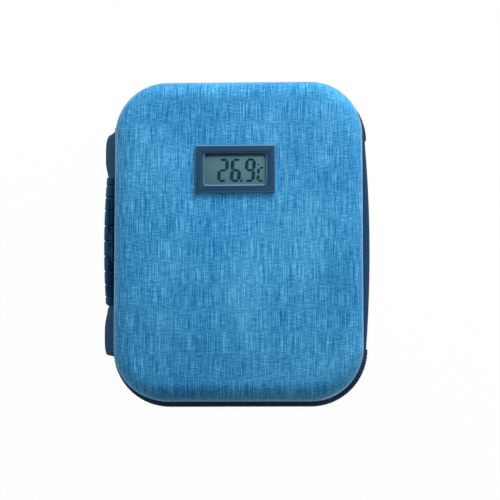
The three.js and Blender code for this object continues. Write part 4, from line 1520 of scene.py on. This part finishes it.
    def reading(self, look):
        """Seven-segment digits, a decimal point, a degree mark and the unit, flat on the panel."""
        low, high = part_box("display_window")
        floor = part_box("lcd_panel")[1].z + 0.02 * MM
        middle = (low + high) / 2
        pieces = []
        x = middle.x - look.reading_left
        y = middle.y - look.reading_foot
        for mark in look.reading:
            if mark == ".":
                pieces.append(self.dot(x - 1.15 * MM, y + look.point / 2, floor, look.point))
                x += look.point_room
                continue
            pieces += self.digit(mark, x, y, look.digit_width, look.digit_height, look, floor)
            x += look.digit_pitch
        x -= 0.3 * MM
        pieces += self.digit("C", x, y, look.unit_width, look.unit_height, look, floor, look.unit_weight)
        pieces.append(self.dot(x + 0.9 * MM, y + look.unit_height + 1.4 * MM, floor, look.degree))
        return merge("reading", pieces)

    def dot(self, x, y, z, size):
        """A round mark, as the decimal point and the degree mark."""
        half = size / 2
        piece = block("dot", (x - half, y - half, z), (x + half, y + half, z + INK_HEIGHT))
        bevel_edges(piece, upright, size * 0.3, 2)
        return piece

    def digit(self, mark, x, y, width, height, look, floor, weight=1.0):
        """One digit from bars with pointed ends, leaning by the slant."""
        thick = look.segment * weight
        bar_thick = look.bar * weight
        left, right = x + thick / 2, x + width - thick / 2
        foot, waist, head = y + bar_thick / 2, y + height / 2, y + height - bar_thick / 2
        ends = {
            "a": ((left, head), (right, head)),
            "b": ((right, waist), (right, head)),
            "c": ((right, foot), (right, waist)),
            "d": ((left, foot), (right, foot)),
            "e": ((left, foot), (left, waist)),
            "f": ((left, waist), (left, head)),
            "g": ((left, waist), (right, waist)),
        }
        pieces = []
        for letter in SEGMENTS_LIT[mark]:
            (x0, y0), (x1, y1) = ends[letter]
            flat = y0 == y1
            half_x = (x1 - x0) / 2 - look.gap * 0.5 if flat else thick / 2
            half_y = bar_thick / 2 if flat else (y1 - y0) / 2 - look.gap + bar_thick * 0.25
            middle_x, middle_y = (x0 + x1) / 2, (y0 + y1) / 2
            bar = block("bar", (middle_x - half_x, middle_y - half_y, floor),
                        (middle_x + half_x, middle_y + half_y, floor + INK_HEIGHT))
            bevel_edges(bar, upright, min(half_x, half_y) * 0.8, 1)
            for vertex in bar.data.vertices:
                vertex.co.x += (vertex.co.y - waist) * look.slant
            pieces.append(bar)
        return pieces


# What the base holds


class CASE_OT_ice_packs(bpy.types.Operator):
    """Makes the two ice packs with their pressed panels and knurled filler caps"""

    bl_idname = "case.add_ice_packs"
    bl_label = "Ice packs"

    def execute(self, context):
        gel = frosted_gel()
        white = moulded("cap_white", tone(228, 232, 236), roughness=0.5, mottle=0.05)
        for side in ("left", "right"):
            pack = self.pack(side, context.scene.case_shape)
            settle(pack, "base", gel, "ice_pack", f"ice_pack_{side}")
            cap = self.cap(side)
            settle(cap, "base", white, "ice_cap", f"ice_pack_cap_{side}")
        return {"FINISHED"}

    def pack(self, side, shape):
        """A flat bottle with round corners, a sunk panel on each face and stiffening ribs on its top face.
        """
        low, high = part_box(f"ice_pack_{side}")
        piece = block(f"gel_pack_{side}", low, high)
        bevel_edges(piece, upright, shape.pack_corner, 8)
        bevel_edges(piece, level_at(high.z), shape.pack_edge, 5)
        bevel_edges(piece, level_at(low.z), shape.pack_edge, 5)
        border, slope, sunk = 3 * MM, 1.2 * MM, 0.7 * MM
        for level, sink in ((high.z, -sunk), (low.z, sunk)):
            with editing(piece):
                pick(piece, "FACE", level_at(level))
                bpy.ops.mesh.inset(thickness=border)
                bpy.ops.mesh.inset(thickness=slope)
                bpy.ops.transform.translate(value=(0, 0, sink))
        middle = (low + high) / 2
        half = Vector(((high.x - low.x) / 2 - 9 * MM, 1.1 * MM, 0.9 * MM))
        pitch = 18 * MM
        pieces = [piece]
        for row in range(-3, 4):
            at = Vector((middle.x, middle.y + row * pitch, high.z - 1.0 * MM))
            rib = brick("rib", at, half)
            bevel_edges(rib, upright, 0.9 * MM, 3)
            pieces.append(soften(rib, 0.35 * MM, 2, 60))
        return smooth(merge(f"gel_pack_{side}", pieces), 40)

    def cap(self, side):
        """A screw cap with a knurled rim, a flange and a coin slot."""
        low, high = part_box(f"ice_pack_cap_{side}")
        middle = (low + high) / 2
        piece = rod(f"pack_cap_{side}", f"ice_pack_cap_{side}", 72, lying=True)
        knurl = 0.35 * MM
        for index, vertex in enumerate(piece.data.vertices):
            every_third = (index // 2) % 3 == 0
            if every_third:
                away = Vector((vertex.co.x - middle.x, 0, vertex.co.z - middle.z))
                vertex.co -= away.normalized() * knurl
        with editing(piece):
            pick(piece, "FACE", level_at(high.y, 1))
            bpy.ops.mesh.inset(thickness=0.8 * MM)
            bpy.ops.transform.translate(value=(0, -0.5 * MM, 0))
        half_long, depth, half_wide = 2.4 * MM, 1.6 * MM, 0.5 * MM
        slot = block("slot", (middle.x - half_long, high.y - depth, middle.z - half_wide),
                     (middle.x + half_long, high.y + MM, middle.z + half_wide))
        carve(piece, slot)
        soften(piece, 0.12 * MM, 1, 50)
        return smooth(piece, 35)


class CASE_OT_divider(bpy.types.Operator):
    """Makes the quilted divider board and the two elastic bands that hold the pens"""

    bl_idname = "case.add_divider"
    bl_label = "Divider"

    def execute(self, context):
        look = context.scene.cloth_look
        board = self.board()
        settle(board, "base", quilted_foil(), "foil_foam", "divider_board")
        elastic = elastic_tape(look)
        thread = sewing_thread(look)
        for end in ("upper", "lower"):
            settle(self.band(end), "base", elastic, "elastic", f"pen_band_{end}")
            settle(self.tacks(end, context.scene.zip_look), "base", thread, "elastic")
        return {"FINISHED"}

    def board(self):
        """A soft board, crowned between the lines of its quilting."""
        low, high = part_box("divider_board")
        piece = block("divider_pad", low, high)
        inset = outline.half.x - high.x
        bevel_edges(piece, upright, outline.radius - inset, 12)
        bevel_edges(piece, level_at(high.z), 1.2 * MM, 3)
        with editing(piece):
            for axis, reach in ((0, high.x), (1, high.y)):
                count = int(reach / (QUILT_PITCH / 4))
                for step in range(-count, count + 1):
                    place, normal = [0, 0, 0], [0, 0, 0]
                    place[axis], normal[axis] = step * QUILT_PITCH / 4, 1
                    bpy.ops.mesh.select_all(action="SELECT")
                    bpy.ops.mesh.bisect(plane_co=place, plane_no=normal)
        pressed = 0.7 * MM
        for vertex in piece.data.vertices:
            if vertex.co.z > high.z - 0.05 * MM:
                x, y = vertex.co.xy
                folds = [abs(math.sin(across * math.pi / (2 * QUILT_PITCH))) for across in (x + y, x - y)]
                vertex.co.z -= pressed * (1 - min(folds) ** 0.5)
        return smooth(piece, 60)

    def profile(self, end):
        """The band's line across the case: flat sewn ends, and an arch for each pen."""
        shape = bpy.context.scene.case_shape
        low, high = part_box(f"pen_band_{end}")
        thick = shape.elastic
        base, top = low.z + thick / 2, high.z - thick / 2
        half = shape.pen_channel / 2 + thick / 2
        foot = 0.9 * MM
        round_top = min(half, top - base)
        spring = base + max(top - base - round_top, foot)
        line = [Vector((low.x, 0, base))]
        for arch in range(4):
            middle = (arch - 1.5) * shape.pen_pitch
            line.append(Vector((middle - half - foot, 0, base)))
            line.append(Vector((middle - half, 0, base + foot)))
            for step in range(13):
                angle = math.pi * (1 - step / 12)
                x = middle + half * math.cos(angle)
                line.append(Vector((x, 0, spring + round_top * math.sin(angle))))
            line.append(Vector((middle + half, 0, base + foot)))
            line.append(Vector((middle + half + foot, 0, base)))
        line.append(Vector((high.x, 0, base)))
        crown = max(point.z for point in line)
        return [Vector((p.x, 0, base + (p.z - base) * (top - base) / (crown - base))) for p in line]

    def band(self, end):
        """One elastic band, sewn down between its arches."""
        low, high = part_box(f"pen_band_{end}")
        line = self.profile(end)
        wide = high.y - low.y
        run = [0]
        for a, b in zip(line, line[1:]):
            run.append(run[-1] + (b - a).length)
        columns = len(line) - 1

        def place(along, across):
            point = line[round(along * columns)]
            return (point.x, low.y + wide * across, point.z)

        piece = cloth_over(f"pen_elastic_{end}", (columns, 10), (run[-1], wide), place)
        thicken(piece, bpy.context.scene.case_shape.elastic)
        soften(piece, 0.25 * MM, 2, 70)
        return smooth(piece, 50)

    def tacks(self, end, look):
        """Rows of stitches where the band is sewn down between its arches."""
        shape = bpy.context.scene.case_shape
        low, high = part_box(f"pen_band_{end}")
        top = low.z + shape.elastic
        rows = []
        for gap in range(5):
            x = (gap - 2) * shape.pen_pitch
            run = [Vector((x, low.y + MM, top)), Vector((x, high.y - MM, top))]
            rows.append(stitches("tack", run, look, 0))
        return smooth(merge(f"pen_tacks_{end}", rows), 60)


class CASE_OT_pocket(bpy.types.Operator):
    """Makes the lid's net pocket and the gathered elastic along its mouth"""

    bl_idname = "case.add_pocket"
    bl_label = "Net pocket"

    def execute(self, context):
        look = context.scene.cloth_look
        low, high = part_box("mesh_pocket")
        binding = self.binding()
        settle(binding, "lid", elastic_tape(look), "elastic", "mesh_pocket_binding")
        net, area = self.net(low, high)
        settle(net, "lid", knitted_net(look), "pocket_mesh", "mesh_pocket")
        return {"FINISHED"}

    def net(self, low, high):
        """The net follows the lid's outline and sags a little where nothing holds it."""
        inset = outline.half.x - high.x
        radius = outline.radius - inset
        middle_z = (low.z + high.z) / 2
        sag, thickness = 0.6 * MM, 0.3 * MM

        def place(along, up):
            y = low.y + (high.y - low.y) * up
            deep = max(0, low.y + radius - y)
            half = high.x - radius + math.sqrt(max(0, radius * radius - deep * deep))
            x = half * (2 * along - 1)
            share = (1 - (2 * along - 1) ** 2) * (1 - (2 * up - 1) ** 2)
            return (x, y, middle_z + sag * (share - 0.5))

        size = (2 * high.x, high.y - low.y)
        piece = cloth_over("pocket_net", (40, 36), size, place)
        layer = piece.data.uv_layers.active
        for loop in piece.data.loops:
            layer.data[loop.index].uv = piece.data.vertices[loop.vertex_index].co.xy
        thicken(piece, thickness)
        area = size[0] * size[1] - 2 * (1 - math.pi / 4) * radius * radius
        return smooth(piece, 60), area

    def binding(self):
        """A folded elastic with small gathers."""
        low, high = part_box("mesh_pocket_binding")
        middle = (low + high) / 2
        count, pitch, height = 240, 3.1 * MM, 0.12 * MM
        line = [Vector((low.x + (high.x - low.x) * i / count, middle.y, middle.z)) for i in range(count + 1)]
        section = section_curve(high.y - low.y, high.z - low.z, 0.55 * MM)
        piece = sweep("pocket_binding", section, line)
        for vertex in piece.data.vertices:
            ripple = math.sin(vertex.co.x * FULL_TURN / pitch)
            vertex.co.z += height * (ripple * (1 if vertex.co.z > middle.z else -1) - 1)
        return smooth(piece, 50)


# Thermometer module

# Each part on the circuit board in millimetres: its place from the board's corner, then its size
CHIPS = (
    ((5.0, 13.4), (5.2, 5.2, 0.5)),
    ((35.4, 7.4), (2.0, 1.2, 0.5)),
    ((35.4, 10.4), (2.0, 1.2, 0.5)),
    ((36.2, 17.4), (3.2, 1.6, 0.7)),
)


class CASE_OT_module(bpy.types.Operator):
    """Makes the thermometer's housing, battery door, cells, contacts, board and sensor"""

    bl_idname = "case.add_module"
    bl_label = "Thermometer module"

    def execute(self, context):
        black = moulded("housing_black", tone(30, 33, 38), roughness=0.5, mottle=0.15)
        housing = rounded_copy("module_housing", "housing_case", 0.3 * MM)
        settle(housing, "lid", black, "housing_plastic", "module_housing")
        settle(self.door(), "battery_door", black, "housing_plastic", "battery_door")
        settle(self.sensor(), "lid", black, "housing_plastic", "sensor_bead")
        steel = metal("nickel_steel", tone(196, 200, 206), roughness=0.24)
        brass = metal("spring_brass", tone(190, 150, 78), roughness=0.3)
        for side in ("left", "right"):
            settle(self.cell(side), "lid", steel, "cell_steel", f"battery_cell_{side}")
            spring = rounded_copy(f"battery_contact_{side}", f"cell_spring_{side}", 0.12 * MM)
            settle(spring, "lid", brass, "contact_brass", f"battery_contact_{side}")
        board = self.board()
        settle(board, "lid", circuit(), "board", "circuit_board")
        board.data.materials.append(black)
        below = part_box("circuit_board")[0].z - 0.05 * MM
        for face in board.data.polygons:
            face.material_index = int(face.center.z < below)
        paint("zebra_connector", striped_rubber())
        return {"FINISHED"}

    def door(self):
        """The sliding door with thumb ribs on its outer face."""
        low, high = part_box("battery_door")
        body = rounded_copy("battery_door", "bay_door", 0.2 * MM)
        middle = (low + high) / 2
        half = Vector((0.35, 3.6, 0.3)) * MM
        first, pitch = 4 * MM, 1.5 * MM
        places = [Vector((high.x - first - pitch * row, middle.y, low.z)) for row in range(5)]
        return smooth(ribbed("bay_door", body, places, half, 0.16 * MM), 40)

    def sensor(self):
        """A dipped bead with a domed end."""
        low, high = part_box("sensor_bead")
        piece = rod("sensor_tip", "sensor_bead", 32)
        bevel_edges(piece, level_at(low.z), (high.x - low.x) / 2 * 0.9, 8)
        return smooth(piece, 50)

    def cell(self, side):
        """A button cell: a can with a rolled edge and a smaller cap."""
        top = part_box(f"battery_cell_{side}")[1].z
        piece = rod(f"button_cell_{side}", f"battery_cell_{side}", 64)
        with editing(piece):
            pick(piece, "FACE", level_at(top))
            # Each step from the can's rim to the cap, in millimetres inwards and then up
            for inset, lift in ((0.9, 0), (0.15, -0.25), (0.3, 0.2)):
                bpy.ops.mesh.inset(thickness=inset * MM)
                bpy.ops.transform.translate(value=(0, 0, lift * MM))
        soften(piece, 0.22 * MM, 3, 50)
        return smooth(piece, 40)

    def board(self):
        """The board with a sealed chip and a few small parts on its battery side."""
        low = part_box("circuit_board")[0]
        sunk = 0.1
        pieces = [rounded_copy("circuit_board", "main_board", 0.12 * MM, 1)]
        for (right, up), (wide, long, tall) in CHIPS:
            corner = low + Vector((right, up, -tall)) * MM
            part = block("chip", corner, corner + Vector((wide, long, tall + sunk)) * MM)
            pieces.append(soften(part, 0.2 * MM))
        return smooth(merge("main_board", pieces), 40)


# Panel and registration


class CASE_PT_panel(bpy.types.Panel):
    """Lists the operators and the settings"""

    bl_label = "Cooling Case"
    bl_idname = "CASE_PT_panel"
    bl_space_type = "VIEW_3D"
    bl_region_type = "UI"
    bl_category = "Cooling Case"

    def draw(self, context):
        for operator in OPERATORS:
            self.layout.operator(operator.bl_idname, text=operator.bl_label)
        for name, group in SETTINGS.items():
            box = self.layout.box()
            box.label(text=group.__doc__)
            for key in group.__annotations__:
                box.prop(getattr(context.scene, name), key)


SETTINGS = {
    "case_shape": CaseShape,
    "cloth_look": ClothLook,
    "zip_look": ZipLook,
    "handle_look": HandleLook,
    "display_look": DisplayLook,
    "studio": Studio,
}

OPERATORS = (
    CASE_OT_stage,
    CASE_OT_covers,
    CASE_OT_linings,
    CASE_OT_zip_band,
    CASE_OT_sliders,
    CASE_OT_spine,
    CASE_OT_handle,
    CASE_OT_display,
    CASE_OT_ice_packs,
    CASE_OT_divider,
    CASE_OT_pocket,
    CASE_OT_module,
)


def register():
    """Adds the settings, the operators and the panel to Blender."""
    for group in (*SETTINGS.values(), *OPERATORS, CASE_PT_panel):
        bpy.utils.register_class(group)
    for name, group in SETTINGS.items():
        setattr(bpy.types.Scene, name, PointerProperty(type=group))


def unregister():
    """Takes them out again, in the reverse order."""
    for name in SETTINGS:
        delattr(bpy.types.Scene, name)
    for group in reversed((*SETTINGS.values(), *OPERATORS, CASE_PT_panel)):
        bpy.utils.unregister_class(group)


def main():
    """Builds every piece in order."""
    global outline
    register()
    outline = Outline(bpy.context.scene.case_shape)
    for operator in OPERATORS:
        group, name = operator.bl_idname.split(".")
        getattr(getattr(bpy.ops, group), name)()


if __name__ == "__main__":
    main()
